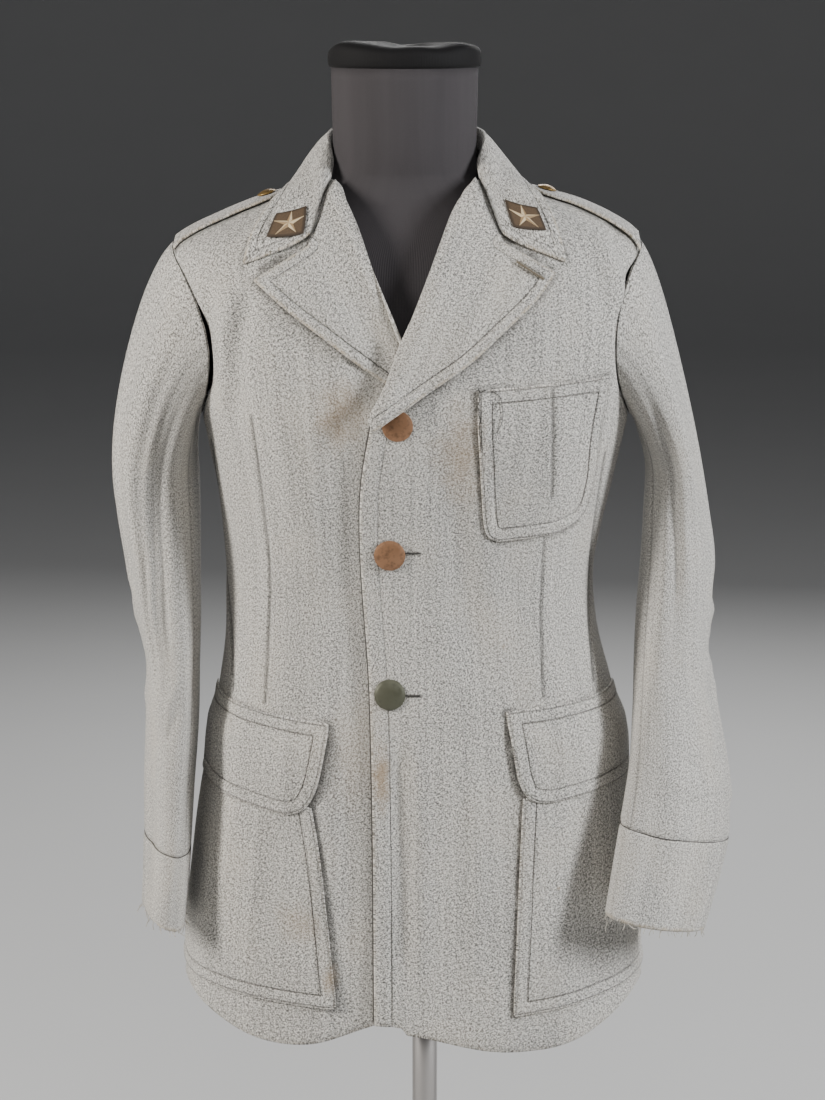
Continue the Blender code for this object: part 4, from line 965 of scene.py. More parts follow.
def wool_material(name, first=FAR * 2, second=FAR * 2, contrast=1.0, tone=1.0, spots=(), worn=0.6, sewn=0.4):
    """The tunic's cloth, with painted shade beside pieces lying on it; first and second are where sewn lines run from
    the edge.
    """
    existing = bpy.data.materials.get(name)
    if existing:
        return existing
    colours = bpy.context.scene.tunic_colours
    material, shader, bench = new_material(name)
    cloth = bench.add("ShaderNodeUVMap", uv_map="cloth").outputs[0]
    place = bench.add("ShaderNodeTexCoord").outputs["Object"]
    light = [channel * tone for channel in colours.wool_light]
    dark = [channel * tone for channel in colours.wool_dark]
    wool = bench.add("ShaderNodeGroup", node_tree=melange_group())
    bench.tree.links.new(cloth, wool.inputs["Vector"])
    wool.inputs["Light"].default_value = four(light)
    wool.inputs["Dark"].default_value = four(dark)
    wool.inputs["Warm"].default_value = four(colours.wool_warm)
    wool.inputs["Contrast"].default_value = contrast
    colour = wool.outputs["Color"]
    rim = bench.add("ShaderNodeAttribute", attribute_name="rim").outputs["Fac"]
    wear = bench.noise(place, 120.0, 3.0, 0.6)
    wear = bench.math("MULTIPLY", bench.ramp(wear, 0.35, 0.65), bench.ramp(rim, 2.6, 0.4, 0.0, worn))
    colour = bench.mix(wear, colour, four(colours.wool_warm))
    for across, forward, height, wide, tall, strength in spots:
        spot = bench.add("ShaderNodeGroup", node_tree=stain_group())
        bench.tree.links.new(place, spot.inputs["Vector"])
        spot.inputs["Centre"].default_value = in_metres((across, forward, height)).tolist()
        spot.inputs["Size"].default_value = (wide * MM, 0.08, tall * MM)
        spot.inputs["Strength"].default_value = strength
        colour = bench.mix(spot.outputs["Mask"], colour, bench.mix(0.7, colour, four(colours.stain)))
    edge = bench.add("ShaderNodeAttribute", attribute_name="edge").outputs["Fac"]
    seam = bench.add("ShaderNodeAttribute", attribute_name="seam").outputs["Fac"]
    lines = bench.add("ShaderNodeGroup", {"Distance": edge, "First": first, "Second": second, "Width": 0.9},
                      node_tree=sewn_group()).outputs["Mask"]
    near = bench.add("ShaderNodeAttribute", attribute_name="near").outputs["Fac"]
    joint = bench.ramp(seam, 2.4, 0.3, 0.0, 0.6)
    # Painted shade: the cloth darkens within a few millimetres of the edges of pieces lying on it (the near mark),
    # broken up by noise.
    painted_edge_shade = bench.math("MULTIPLY", bench.ramp(near, 7.0, 1.2, 0.0, 0.8), bench.ramp(bench.noise(place, 60.0), 0.2, 0.6))
    # Sewn lines, dark joints and the painted shade all pull the colour towards the thread's.
    lines_joints_and_painted_shade = bench.math("MAXIMUM", bench.math("MULTIPLY", lines, sewn), bench.math("MAXIMUM", joint, painted_edge_shade))
    colour = bench.mix(lines_joints_and_painted_shade, colour, four(colours.thread))
    bench.tree.links.new(colour, shader.inputs["Base Color"])
    dips = bench.math("MAXIMUM", lines, joint)
    height = bench.math("MULTIPLY_ADD", dips, -1.6, wool.outputs["Height"])
    bump = bench.add("ShaderNodeBump", {"Strength": 0.8, "Distance": 0.0008, "Height": height})
    bench.tree.links.new(bump.outputs[0], shader.inputs["Normal"])
    shader.inputs["Roughness"].default_value = 0.88
    shader.inputs["Specular IOR Level"].default_value = 0.25
    shader.inputs["Sheen Weight"].default_value = 0.22
    shader.inputs["Sheen Roughness"].default_value = 0.5
    return material


def thread_material(name, colour):
    existing = bpy.data.materials.get(name)
    if existing:
        return existing
    material, shader, bench = new_material(name)
    place = bench.add("ShaderNodeTexCoord").outputs["Object"]
    strands = bench.noise(bench.scaled(place, (1.0, 1.0, 2.0)), 2600.0, 2.0, 0.6)
    deeper = [channel * 0.6 for channel in colour]
    bench.tree.links.new(bench.mix(bench.ramp(strands, 0.35, 0.65), four(deeper), four(colour)),
                         shader.inputs["Base Color"])
    bump = bench.add("ShaderNodeBump", {"Strength": 0.4, "Distance": 0.0002, "Height": strands})
    bench.tree.links.new(bump.outputs[0], shader.inputs["Normal"])
    shader.inputs["Roughness"].default_value = 0.7
    return material


def patch_material():
    colours = bpy.context.scene.tunic_colours
    material, shader, bench = new_material("brown_patch_cloth")
    cloth = bench.add("ShaderNodeUVMap", uv_map="cloth").outputs[0]
    ribs = bench.add("ShaderNodeTexWave", {"Vector": cloth, "Scale": 260.0, "Distortion": 1.2, "Detail": 1.0},
                     bands_direction="Y").outputs["Fac"]
    fibres = bench.noise(bench.scaled(cloth, (900.0, 500.0, 1.0)), 1.0, 2.0, 0.6)
    rim = bench.add("ShaderNodeAttribute", attribute_name="rim").outputs["Fac"]
    light = four(colours.patch)
    dark = four([channel * 0.45 for channel in colours.patch])
    share = bench.math("MULTIPLY_ADD", fibres, 0.7, bench.math("MULTIPLY", ribs, 0.4))
    colour = bench.mix(bench.ramp(share, 0.3, 0.85), dark, light)
    colour = bench.mix(bench.ramp(rim, 2.4, 0.8, 0.0, 0.8), colour, four([channel * 0.22 for channel in colours.patch]))
    bench.tree.links.new(colour, shader.inputs["Base Color"])
    bump = bench.add("ShaderNodeBump", {"Strength": 0.5, "Distance": 0.0004, "Height": share})
    bench.tree.links.new(bump.outputs[0], shader.inputs["Normal"])
    shader.inputs["Roughness"].default_value = 0.8
    return material


def metal_material(name, metal, tarnish, share, metallic=0.85):
    existing = bpy.data.materials.get(name)
    if existing:
        return existing
    material, shader, bench = new_material(name)
    place = bench.add("ShaderNodeTexCoord").outputs["Object"]
    patina = bench.add("ShaderNodeGroup", node_tree=patina_group())
    bench.tree.links.new(place, patina.inputs["Vector"])
    patina.inputs["Metal"].default_value = four(metal)
    patina.inputs["Tarnish"].default_value = four(tarnish)
    patina.inputs["Share"].default_value = share
    bench.tree.links.new(patina.outputs["Color"], shader.inputs["Base Color"])
    bench.tree.links.new(patina.outputs["Roughness"], shader.inputs["Roughness"])
    bump = bench.add("ShaderNodeBump", {"Strength": 0.25, "Distance": 0.0003, "Height": patina.outputs["Height"]})
    bench.tree.links.new(bump.outputs[0], shader.inputs["Normal"])
    shader.inputs["Metallic"].default_value = metallic
    return material


def jersey_material(name, tone):
    colours = bpy.context.scene.tunic_colours
    material, shader, bench = new_material(name)
    cloth = bench.add("ShaderNodeUVMap", uv_map="cloth").outputs[0]
    ribs = bench.add("ShaderNodeTexWave", {"Vector": cloth, "Scale": 230.0, "Distortion": 0.6, "Detail": 1.0},
                     bands_direction="X").outputs["Fac"]
    loops = bench.noise(bench.scaled(cloth, (1300.0, 700.0, 1.0)), 1.0, 2.0, 0.6)
    streaks = bench.noise(bench.scaled(cloth, (60.0, 6.0, 1.0)), 1.0, 3.0, 0.6)
    base = [channel * tone for channel in colours.jersey]
    colour = bench.mix(bench.ramp(streaks, 0.35, 0.68), four([channel * 0.88 for channel in base]), four(base))
    colour = bench.mix(bench.ramp(loops, 0.3, 0.7, 0.0, 0.35), colour, four([channel * 1.5 for channel in base]))
    bench.tree.links.new(colour, shader.inputs["Base Color"])
    height = bench.math("MULTIPLY_ADD", loops, 0.8, ribs)
    bump = bench.add("ShaderNodeBump", {"Strength": 0.35, "Distance": 0.0004, "Height": height})
    bench.tree.links.new(bump.outputs[0], shader.inputs["Normal"])
    shader.inputs["Roughness"].default_value = 0.72
    shader.inputs["Specular IOR Level"].default_value = 0.2
    shader.inputs["Sheen Weight"].default_value = 0.06
    shader.inputs["Sheen Roughness"].default_value = 0.4
    return material


def chrome_material():
    material, shader, bench = new_material("polished_chrome")
    place = bench.add("ShaderNodeTexCoord").outputs["Object"]
    smudges = bench.noise(bench.scaled(place, (1.0, 1.0, 0.25)), 42.0, 3.0, 0.6)
    bench.tree.links.new(bench.ramp(smudges, 0.35, 0.7, 0.07, 0.17), shader.inputs["Roughness"])
    shader.inputs["Base Color"].default_value = (0.42, 0.4, 0.385, 1.0)
    shader.inputs["Metallic"].default_value = 1.0
    return material


def enamel_material():
    colours = bpy.context.scene.tunic_colours
    material, shader, bench = new_material("black_enamel")
    place = bench.add("ShaderNodeTexCoord").outputs["Object"]
    texture = bench.noise(place, 900.0, 2.0, 0.5)
    dust = bench.noise(place, 26.0, 4.0, 0.6)
    bench.tree.links.new(
        bench.mix(bench.ramp(dust, 0.45, 0.75, 0.0, 0.5), four(colours.enamel), (0.07, 0.068, 0.065, 1.0)),
        shader.inputs["Base Color"])
    bench.tree.links.new(bench.ramp(dust, 0.35, 0.7, 0.34, 0.52), shader.inputs["Roughness"])
    bump = bench.add("ShaderNodeBump", {"Strength": 0.2, "Distance": 0.0003, "Height": texture})
    bench.tree.links.new(bump.outputs[0], shader.inputs["Normal"])
    return material


def pocket_border(table, angle_ends):
    """The outline of a pocket on the body."""
    table = np.array(table, dtype=float)
    outer = table[:, 2] if angle_ends else front_angle(table[:, 2], table[:, 3])
    inner = front_angle(table[:, 0], table[:, 1])
    angle = np.concatenate((outer[:1], inner, outer[::-1]))
    height = np.concatenate((table[:1, 3], table[:, 1], table[::-1, 3]))
    return body_point(angle, height, 0.0, fine=False)


def lying_edges(left, front):
    """Edges in space of what lies on a panel; the panel's cloth gets painted shade beside them."""
    side = 1 if left else -1
    strap = epaulette_surface(side, 9, 20, 0.0)
    lines = [collar_surface()[:, -1], np.concatenate((strap[::-1, 0], strap[0], strap[:, -1]))]
    if front:
        flat = [LEFT_LAPEL_EDGE, LEFT_LAPEL_TOP] if left else [RIGHT_LAPEL_EDGE, RIGHT_LAPEL_TOP, LEFT_EDGE]
        for line in flat:
            line = along(line, np.linspace(0.0, 1.0, 24))
            lines.append(front_point(line[:, 0], line[:, 1]))
        lines += [pocket_border(row[1], row[2]) for row in POCKETS if ("right" in row[0]) != left]
    return lines


def make_panels():
    """Two fronts and two backs."""
    plain = wool_material("wool_back")
    sizes = bpy.context.scene.tunic_sizes
    inset = sizes.front_inset / MM
    left_look = wool_material("wool_front_left", first=inset, spots=STAINS, worn=0.15, sewn=0.5)
    right_look = wool_material("wool_front_right", spots=STAINS, worn=0.2)
    panels = (
        ("front_left", front_grid(1, LEFT_EDGE, LEFT_ROLL, 120, 72, 78), left_look),
        ("front_right", front_grid(-1, RIGHT_EDGE, RIGHT_ROLL, 124, 72, 78), right_look),
        ("back_left", back_grid(1, 84, 66, 84), plain),
        ("back_right", back_grid(-1, 84, 66, 84), plain),
    )
    ring = np.linspace(-185.0, 185.0, 741)
    arc = np.concatenate(([0.0], np.cumsum(np.linalg.norm(np.diff(ring_point(ring, 700.0), axis=0), axis=-1))))
    for name, grid, look in panels:
        angle, height = grid[..., 0], grid[..., 1]
        out = np.zeros(angle.shape)
        flat = ring_point(angle, height)
        if name == "front_right":
            out = underlap_depth(flat[..., 0], height)
        outside = body_point(angle, height, out)
        marks = {}
        below = 72 if name.startswith("front") else 66
        borders = [outside[0], outside[:, -1], outside[-1]]
        seams = [outside[:, -1], outside[-1]]
        if name.startswith("back"):
            seams.append(outside[:, 0])
        joint = np.min([nearest_distance(outside, line) for line in seams], axis=0)
        turned_in = 1.1 * np.exp(-((joint / 2.2) ** 2))
        darts = FRONT_DARTS if name.startswith("front") else BACK_DARTS
        x = flat[..., 0]
        dart = np.min([line_distance(x, height, line)[0] for line in darts], axis=0)
        marks["seam"] = dart
        if name.startswith("front"):
            edge = nearest_distance(outside, outside[:below + 2, 0])
            borders.append(outside[:below, 0])
            if name == "front_left":
                marks["edge"] = edge
                turned_in = turned_in + 0.8 * np.exp(-(((edge - inset) / 1.6) ** 2)) - 0.5 * (edge < inset)
        lines = lying_edges(name.endswith("left"), name.startswith("front"))
        # near: distance to pieces lying on this panel, where its cloth paints their shade.
        marks["near"] = np.min([nearest_distance(outside, line) for line in lines], axis=0)
        hem = nearest_distance(outside, outside[0])
        marks["rim"] = np.minimum(hem, edge) if name.startswith("front") else hem
        turned_in = turned_in - 0.5 * np.exp(-((hem / 7.0) ** 2))
        normal = body_normal(angle, height)
        outside = outside - normal * turned_in[..., None]
        inside = body_point(angle, height, out - CLOTH, fine=True)
        uv = np.stack((np.interp(angle, ring, arc), height), -1)
        piece = cloth_mesh(name + "_cloth", outside, inside, uv, marks, look)
        sew_on(piece, name)


def sleeve_tables(side):
    if side > 0:
        return LEFT_SLEEVE, LEFT_SLEEVE_FOLDS, LEFT_SLEEVE_CREASES
    return RIGHT_SLEEVE, RIGHT_SLEEVE_FOLDS, RIGHT_SLEEVE_CREASES


def sleeve_surface(side, turns, head, hanging):
    rows, folds, creases = sleeve_tables(side)
    shares = np.linspace(0.0, 1.0, head, endpoint=False)
    seam = CUFF_SEAM[side] + SEAM
    heights = np.linspace(HANG_TOP, seam, hanging)
    top = sleeve_head(rows, folds, creases, side, turns[None], shares[:, None])
    low = sleeve_ring(rows, folds, creases, side, turns[None], heights[:, None])
    return np.concatenate((top, low))


def make_sleeves():
    look = wool_material("wool_sleeve")
    around = 128
    turns = np.arange(around) * 360.0 / around
    for side, name in ((1, "left"), (-1, "right")):
        rows, folds, creases = sleeve_tables(side)
        outside = sleeve_surface(side, turns, 34, 92)
        normal = grid_normals(outside, around=True)
        centre = outside.mean(axis=1, keepdims=True)
        if ((outside - centre) * normal).sum() < 0:
            normal = -normal
        lengths = np.linalg.norm(np.diff(outside, axis=0), axis=-1).mean(axis=1)
        down = np.concatenate(([0.0], np.cumsum(lengths)))
        rough = unevenness(np.radians(turns)[None] * 62.0 * side, down[:, None], 0.28)
        top = np.exp(-((down / 5.0) ** 2))[:, None]
        wave = np.sin(np.radians(turns) * 26.0)[None] * np.exp(-((down / 16.0) ** 2))[:, None] * 0.5
        fade = smooth_step(down, 0.0, 12.0)[:, None]
        end_dip = np.exp(-(((down[-1] - down) / 2.2) ** 2))[:, None]
        seams = np.full(outside.shape[:2], FAR)
        for place in (148.0, 212.0):
            gap = np.abs((turns - place + 180.0) % 360.0 - 180.0)[None] * 1.05
            seams = np.minimum(seams, np.broadcast_to(gap, seams.shape))
        groove = 1.0 * np.exp(-((seams / 1.9) ** 2))
        lift = rough * fade + wave + 0.8 * top * 0.0 - groove - 0.9 * end_dip
        outside = outside + normal * lift[..., None]
        inside = outside - normal * CLOTH
        u = np.append(turns, 360.0) / 360.0 * 390.0
        uv = np.stack(np.broadcast_arrays(u[None], 1000.0 - down[:, None]), -1)
        piece = cloth_mesh(
            "sleeve_%s_cloth" % name, outside, inside, uv, {"seam": seams}, look, around=True)
        sew_on(piece, "sleeve_" + name)
        make_cuff(side, name, turns, down[-1])


def cuff_surface(side, turns, count, grow=0.0):
    rows, folds, creases = sleeve_tables(side)
    heights = np.linspace(CUFF_SEAM[side] - SEAM, rows[-1][0], count)
    grid = sleeve_ring(rows, folds, creases, side, turns[None], heights[:, None])
    normal = grid_normals(grid, around=True)
    centre = grid.mean(axis=1, keepdims=True)
    if ((grid - centre) * normal).sum() < 0:
        normal = -normal
    return grid + normal * grow, normal


def make_cuff(side, name, turns, reach):
    look = wool_material("wool_cuff", first=7.0)
    grid, normal = cuff_surface(side, turns, 30)
    down = np.concatenate(([0.0], np.cumsum(np.linalg.norm(np.diff(grid, axis=0), axis=-1).mean(axis=1))))
    left = (down[-1] - down)[:, None]
    rough = unevenness(np.radians(turns)[None] * 60.0 * side + 40.0, down[:, None], 0.3)
    lift = rough + 0.5 - 0.8 * np.exp(-((down / 2.0) ** 2))[:, None]
    outside = grid + normal * (lift * np.ones(grid.shape[:2]))[..., None]
    inside = outside - normal * (CLOTH + 0.9)
    seams = np.full(grid.shape[:2], FAR)
    for place in (148.0,):
        gap = np.abs((turns - place + 180.0) % 360.0 - 180.0)[None] * 1.05
        seams = np.minimum(seams, np.broadcast_to(gap, seams.shape))
    marks = {"seam": seams, "rim": np.broadcast_to(left, seams.shape)}
    u = np.append(turns, 360.0) / 360.0 * 380.0 + 7.0
    uv = np.stack(np.broadcast_arrays(u[None], 1000.0 - reach - down[:, None]), -1)
    piece = cloth_mesh("cuff_%s_cloth" % name, outside, inside, uv, marks, look, around=True)
    sew_on(piece, "cuff_" + name)


def shifted(points, across, down):
    return tuple((x + across, z - down) for x, z in points)


def lapel_plan(roll, gorge, top, edge, across, up):
    u = np.linspace(0.0, 1.0, across)
    v = np.linspace(0.0, 1.0, up)
    roll, gorge, top, edge = (np.array(line, dtype=float) for line in (roll, gorge, top, edge))
    bottom = roll[0] + (edge[0] - roll[0]) * u[:, None]
    upper = np.where((u < 0.5)[:, None], along(gorge, np.minimum(u * 2.0, 1.0)),
                     along(top, np.clip(u * 2.0 - 1.0, 0.0, 1.0)))
    return patch_between(bottom, upper, along(roll, v), along(edge, v))


def laid_mesh(name, plan, out, thick, look, marks_from, uv, puff=0.0, inset=9.0, curl=None):
    """A piece of cloth laid on the fronts, from a plan of across and height."""
    x, z = plan[..., 0], plan[..., 1]
    angle = front_angle(x, z)
    grid = body_point(angle, z, out)
    normal = body_normal(angle, z)
    edge = nearest_distance(grid, marks_from(grid))
    swell = np.where(edge < inset, puff * (1.0 - (edge / inset * 2.0 - 1.0) ** 2), 0.0)
    swell = swell - 0.5 * np.exp(-(((edge - inset) / 1.4) ** 2)) * (puff > 0)
    outside = grid + normal * (thick / 2.0 + swell)[..., None]
    inside = grid - normal * thick / 2.0
    if curl is not None:
        outside, inside, edge, uv = curl(outside, inside, edge, uv, normal)
    marks = {"edge": edge, "rim": edge, "seam": nearest_distance(outside, outside[-1, :plan.shape[1] // 2])}
    return cloth_mesh(name, outside, inside, uv, marks, look), outside


def roll_under(outside, inside, edge, uv, normal, reach):
    """Carries a lapel round its roll line and down to the front's edge."""
    steps = 6
    start = outside[:, 0]
    away = unit(outside[:, 0] - outside[:, 2])
    up = normal[:, 0]
    radius = reach[:, None] / 2.0
    rows_out, rows_in = [], []
    for k in range(steps, 0, -1):
        spin = math.radians(165.0 * k / steps)
        rows_out.append(start + away * radius * math.sin(spin) - up * radius * (1.0 - math.cos(spin)))
        inner = np.maximum(radius - 1.2, 0.25)
        centre = start - up * radius
        rows_in.append(centre + away * inner * math.sin(spin) + up * inner * math.cos(spin))
    extra_out = np.stack(rows_out, 1)
    extra_in = np.stack(rows_in, 1)
    far = np.full((outside.shape[0], steps), FAR)
    slide = (np.arange(-steps, 0) * 1.0)[None, :, None] * np.array((1.0, 0.0))
    extra_uv = uv[:, :1] + slide
    return (
        np.concatenate((extra_out, outside), 1), np.concatenate((extra_in, inside), 1),
        np.concatenate((far, edge), 1), np.concatenate((extra_uv, uv), 1))


def turned_uv(plan, degrees, shift=0.0):
    turn = math.radians(degrees)
    x, z = plan[..., 0], plan[..., 1]
    return np.stack((x * math.cos(turn) - z * math.sin(turn) + shift, x * math.sin(turn) + z * math.cos(turn)), -1)


def lapel_pieces():
    """The plans of both lapels with what each lies on."""
    left = lapel_plan(
        LEFT_LAPEL_ROLL, shifted(LEFT_GORGE, -2.2, 1.2), shifted(LEFT_LAPEL_TOP, -2.2, 1.2), LEFT_LAPEL_EDGE, 84, 120)
    right = lapel_plan(
        RIGHT_LAPEL_ROLL, shifted(RIGHT_GORGE, 2.2, 1.2), shifted(RIGHT_LAPEL_TOP, 2.2, 1.2), RIGHT_LAPEL_EDGE, 84, 110)
    return (
        ("left", left, 3.0, 2.1, button_lift, 24.0),
        ("right", right, 1.6, 2.7, underlap_depth, -24.0),
    )


def lapel_out(plan, laid, lift, base):
    """Height of a lapel over the front: high at the roll, then flat."""
    width = np.linalg.norm(plan[:, -1] - plan[:, 0], axis=-1)[:, None]
    inward = np.linspace(0.0, 1.0, plan.shape[1])[None] * width
    stand = 1.9 * np.exp(-(((width - inward) / 11.0) ** 2)) * smooth_step(width, 20.0, 60.0)
    return laid + lift * np.exp(-(((inward - 9.0) / 9.0) ** 2)) + base(plan[..., 0], plan[..., 1]) + stand


def make_lapels():
    inset = bpy.context.scene.tunic_sizes.lapel_inset / MM
    look = wool_material("wool_lapel", first=inset, spots=STAINS, sewn=0.3)
    for name, plan, laid, lift, base, lean in lapel_pieces():
        out = lapel_out(plan, laid, lift, base)
        half = plan.shape[1] // 2

        def free_edge(grid, half=half):
            return np.concatenate((grid[:, -1], grid[-1, half:][::-1]))

        def curl(outside, inside, edge, uv, normal, out=out):
            return roll_under(outside, inside, edge, uv, normal, out[:, 0] + 0.6)

        piece, grid = laid_mesh(
            "lapel_%s_cloth" % name, plan, out, TRIM, look, free_edge, turned_uv(plan, lean, 13.0),
            puff=0.7, inset=inset, curl=curl)
        sew_on(piece, "lapel_" + name)


def outward(angle):
    turn = np.radians(angle)
    return np.stack((np.sin(turn), -np.cos(turn), np.zeros(np.shape(turn))), -1)


def push_clear(points, clear):
    """Moves points out until they lie clear of the body's cloth."""
    points = points.copy()
    for _ in range(12):
        height = points[..., 2]
        _, right, left, front, back, square = rows_at(BODY_ROWS, height)
        wide = np.where(points[..., 0] > 0, left, right)
        depth = np.where(points[..., 1] < 0, front, back)
        x, y = np.abs(points[..., 0]), np.abs(points[..., 1])
        level = ((x / wide) ** square + (y / depth) ** square) ** (1.0 / square)
        angle = np.degrees(np.arcsin(np.minimum((x / wide / level) ** (square / 2.0), 1.0)))
        angle = np.where(points[..., 1] < 0, angle, 180.0 - angle) * np.sign(points[..., 0] + 1e-9)
        normal = body_normal(angle, height)
        apart = ((points - body_point(angle, height, fine=False)) * normal).sum(-1)
        short = np.where((apart < clear) & (height <= 1070.0), clear - apart, 0.0)
        points = points + normal * short[..., None]
    return points


def collar_surface():
    """The collar's middle surface: seam, stand, fold and fall."""
    steps = 15
    index = np.arange(-steps, steps + 1)
    angle = np.where(index < 0, -1.0, 1.0) * (180.0 - 114.0 * (np.abs(index) / steps) ** 0.9)
    _, seam, fold, across, deep = rows_at(COLLAR_ROWS, np.abs(angle))
    across = across * np.sign(angle)
    side = outward(angle)
    columns = []
    for share in (0.0, 0.5, 1.0):
        height = seam + SEAM + (fold - FOLD_RADIUS - seam - SEAM) * share
        columns.append(ring_point(angle, height) - side * 1.2)
    columns.append(ring_point(angle, fold) + side * (FOLD_RADIUS - 1.2))
    start = ring_point(angle, fold - FOLD_RADIUS) + side * (2.0 * FOLD_RADIUS - 1.2)
    end = top_point(across, deep, 3.0)
    handle = start + side * 13.0 - (0.0, 0.0, 9.0)
    for share in (0.0, 0.14, 0.3, 0.48, 0.66, 0.84, 1.0):
        columns.append((1 - share) ** 2 * start + 2 * share * (1 - share) * handle + share**2 * end)
    grid = np.stack(columns, 1)
    shares = np.linspace(0.0, 1.0, 7)
    for first, step, gorge, front in ((0, 1, RIGHT_GORGE, RIGHT_COLLAR_FRONT), (-1, -1, LEFT_GORGE, LEFT_COLLAR_FRONT)):
        line = np.where((shares < 0.55)[:, None], along(gorge, np.minimum(shares / 0.55, 1.0)),
                        along(front, np.clip((shares - 0.55) / 0.45, 0.0, 1.0)))
        end_line = body_point(front_angle(line[:, 0], line[:, 1]), line[:, 1], 2.2, fine=False)
        shift = end_line - grid[first, 4:]
        for k in range(6):
            grid[first + step * k, 4:] += shift * (1.0 - smooth_step(k / 6.0, 0.0, 1.0))
    grid[:, 4:] = push_clear(grid[:, 4:], 2.0)
    return grid


COLLAR_UP = 5
COLLAR_ACROSS = 6


def make_collar():
    inset = bpy.context.scene.tunic_sizes.collar_inset / MM
    look = wool_material("wool_collar", first=inset, sewn=0.3)
    grid = refine(collar_surface(), COLLAR_UP, COLLAR_ACROSS)
    normal = grid_normals(grid)
    fall = 4 * COLLAR_ACROSS
    if normal[:, fall:, 2].sum() < 0:
        normal = -normal
    notch = fall + int(0.55 * 6 * COLLAR_ACROSS)
    edge = nearest_distance(grid, np.concatenate((grid[0, notch:], grid[1:-1, -1], grid[-1, notch:][::-1])))
    edge[:, :fall] = FAR
    swell = np.where(edge < inset, 0.6 * (1.0 - (edge / inset * 2.0 - 1.0) ** 2), 0.0)
    swell = swell - 0.5 * np.exp(-(((edge - inset) / 1.4) ** 2))
    length = np.concatenate(([0.0], np.cumsum(np.linalg.norm(np.diff(grid[:, fall], axis=0), axis=-1))))
    depth = np.concatenate(([0.0], np.cumsum(np.linalg.norm(np.diff(grid[75], axis=0), axis=-1))))
    rough = unevenness(length[:, None], depth[None] * 1.7, 0.22) * smooth_step(depth, 4.0, 30.0)[None]
    outside = grid + normal * (TRIM / 2.0 + swell + rough)[..., None]
    inside = grid - normal * (TRIM / 2.0 - rough)[..., None]
    uv = np.stack(np.broadcast_arrays(length[:, None], depth[None]), -1)
    gorge = np.min([nearest_distance(grid, grid[row, fall:notch]) for row in (0, -1)], axis=0)
    gorge[:, :fall] = FAR
    piece = cloth_mesh("collar_cloth", outside, inside, uv, {"edge": edge, "rim": edge, "seam": gorge}, look)
    sew_on(piece, "collar")
    return grid, normal


def grid_sample(grid, row, column):
    """Points of a grid at fractional rows and columns."""
    row = np.clip(row, 0.0, grid.shape[0] - 1.001)
    column = np.clip(column, 0.0, grid.shape[1] - 1.001)
    j, i = np.floor(row).astype(int), np.floor(column).astype(int)
    u, v = (row - j)[..., None], (column - i)[..., None]
    return (
        grid[j, i] * (1 - u) * (1 - v) + grid[j + 1, i] * u * (1 - v)
        + grid[j, i + 1] * (1 - u) * v + grid[j + 1, i + 1] * u * v)


def seen_place(grid, x, z):
    """Row and column of the collar's fall that the front view shows at x and z."""
    fall = 4 * COLLAR_ACROSS
    half = grid.shape[0] // 2
    rows = np.arange(0, half * 0.5, 0.5) if x < 0 else np.arange(grid.shape[0] - 1, half * 1.5, -0.5)
    row, column = np.meshgrid(rows, np.arange(fall, grid.shape[1] - 1, 0.5), indexing="ij")
    place = grid_sample(grid, row, column)
    away = np.hypot(place[..., 0] - x, place[..., 2] + (place[..., 1] - SEEN_DEEP) * SEEN_SLOPE - z)
    best = np.argmin(away)
    return np.array((row.flat[best], column.flat[best]))


def patch_surface(grid, normal, corners, u, v, out):
    """Points over a collar patch; u and v are shares of its four corners."""
    a, b, c, d = (seen_place(grid, x, z) for x, z in corners)
    u, v = u[..., None], v[..., None]
    place = (a * (1 - u) + b * u) * (1 - v) + (d * (1 - u) + c * u) * v
    lift = grid_sample(normal, place[..., 0], place[..., 1])
    return grid_sample(grid, place[..., 0], place[..., 1]) + lift * out, lift


def make_patches(grid, normal):
    """Brown patches near the collar's tips, each with an embroidered star."""
    look = patch_material()
    colours = bpy.context.scene.tunic_colours
    # The star's two thread colours are painted light: a painted highlight on one half of each arm, painted shade on the
    # other.
    light = thread_material("star_lit_half_thread", colours.star_lit_half)
    dark = thread_material("star_shaded_half_thread", colours.star_shaded_half)
    for name, corners in (("collar_patch_right", RIGHT_PATCH), ("collar_patch_left", LEFT_PATCH)):
        v, u = np.meshgrid(np.linspace(0, 1, 21), np.linspace(0, 1, 21), indexing="ij")
        base = TRIM / 2.0 + LAID + 0.4
        middle, lift = patch_surface(grid, normal, corners, u, v, base)
        border = np.concatenate((middle[0], middle[:, -1], middle[-1][::-1], middle[:, 0][::-1]))
        rim = nearest_distance(middle, border)
        swell = 0.35 * smooth_step(rim, 0.0, 3.0)
        uv = np.stack((u * 26.0, v * 26.0), -1)
        piece = cloth_mesh(
            name + "_cloth", middle + lift * (0.45 + swell)[..., None], middle - lift * 0.5, uv, {"rim": rim}, look)
        sew_on(piece, name)
        make_star(name.replace("collar_patch", "collar_star"), grid, normal, corners, base + 0.9, light, dark)


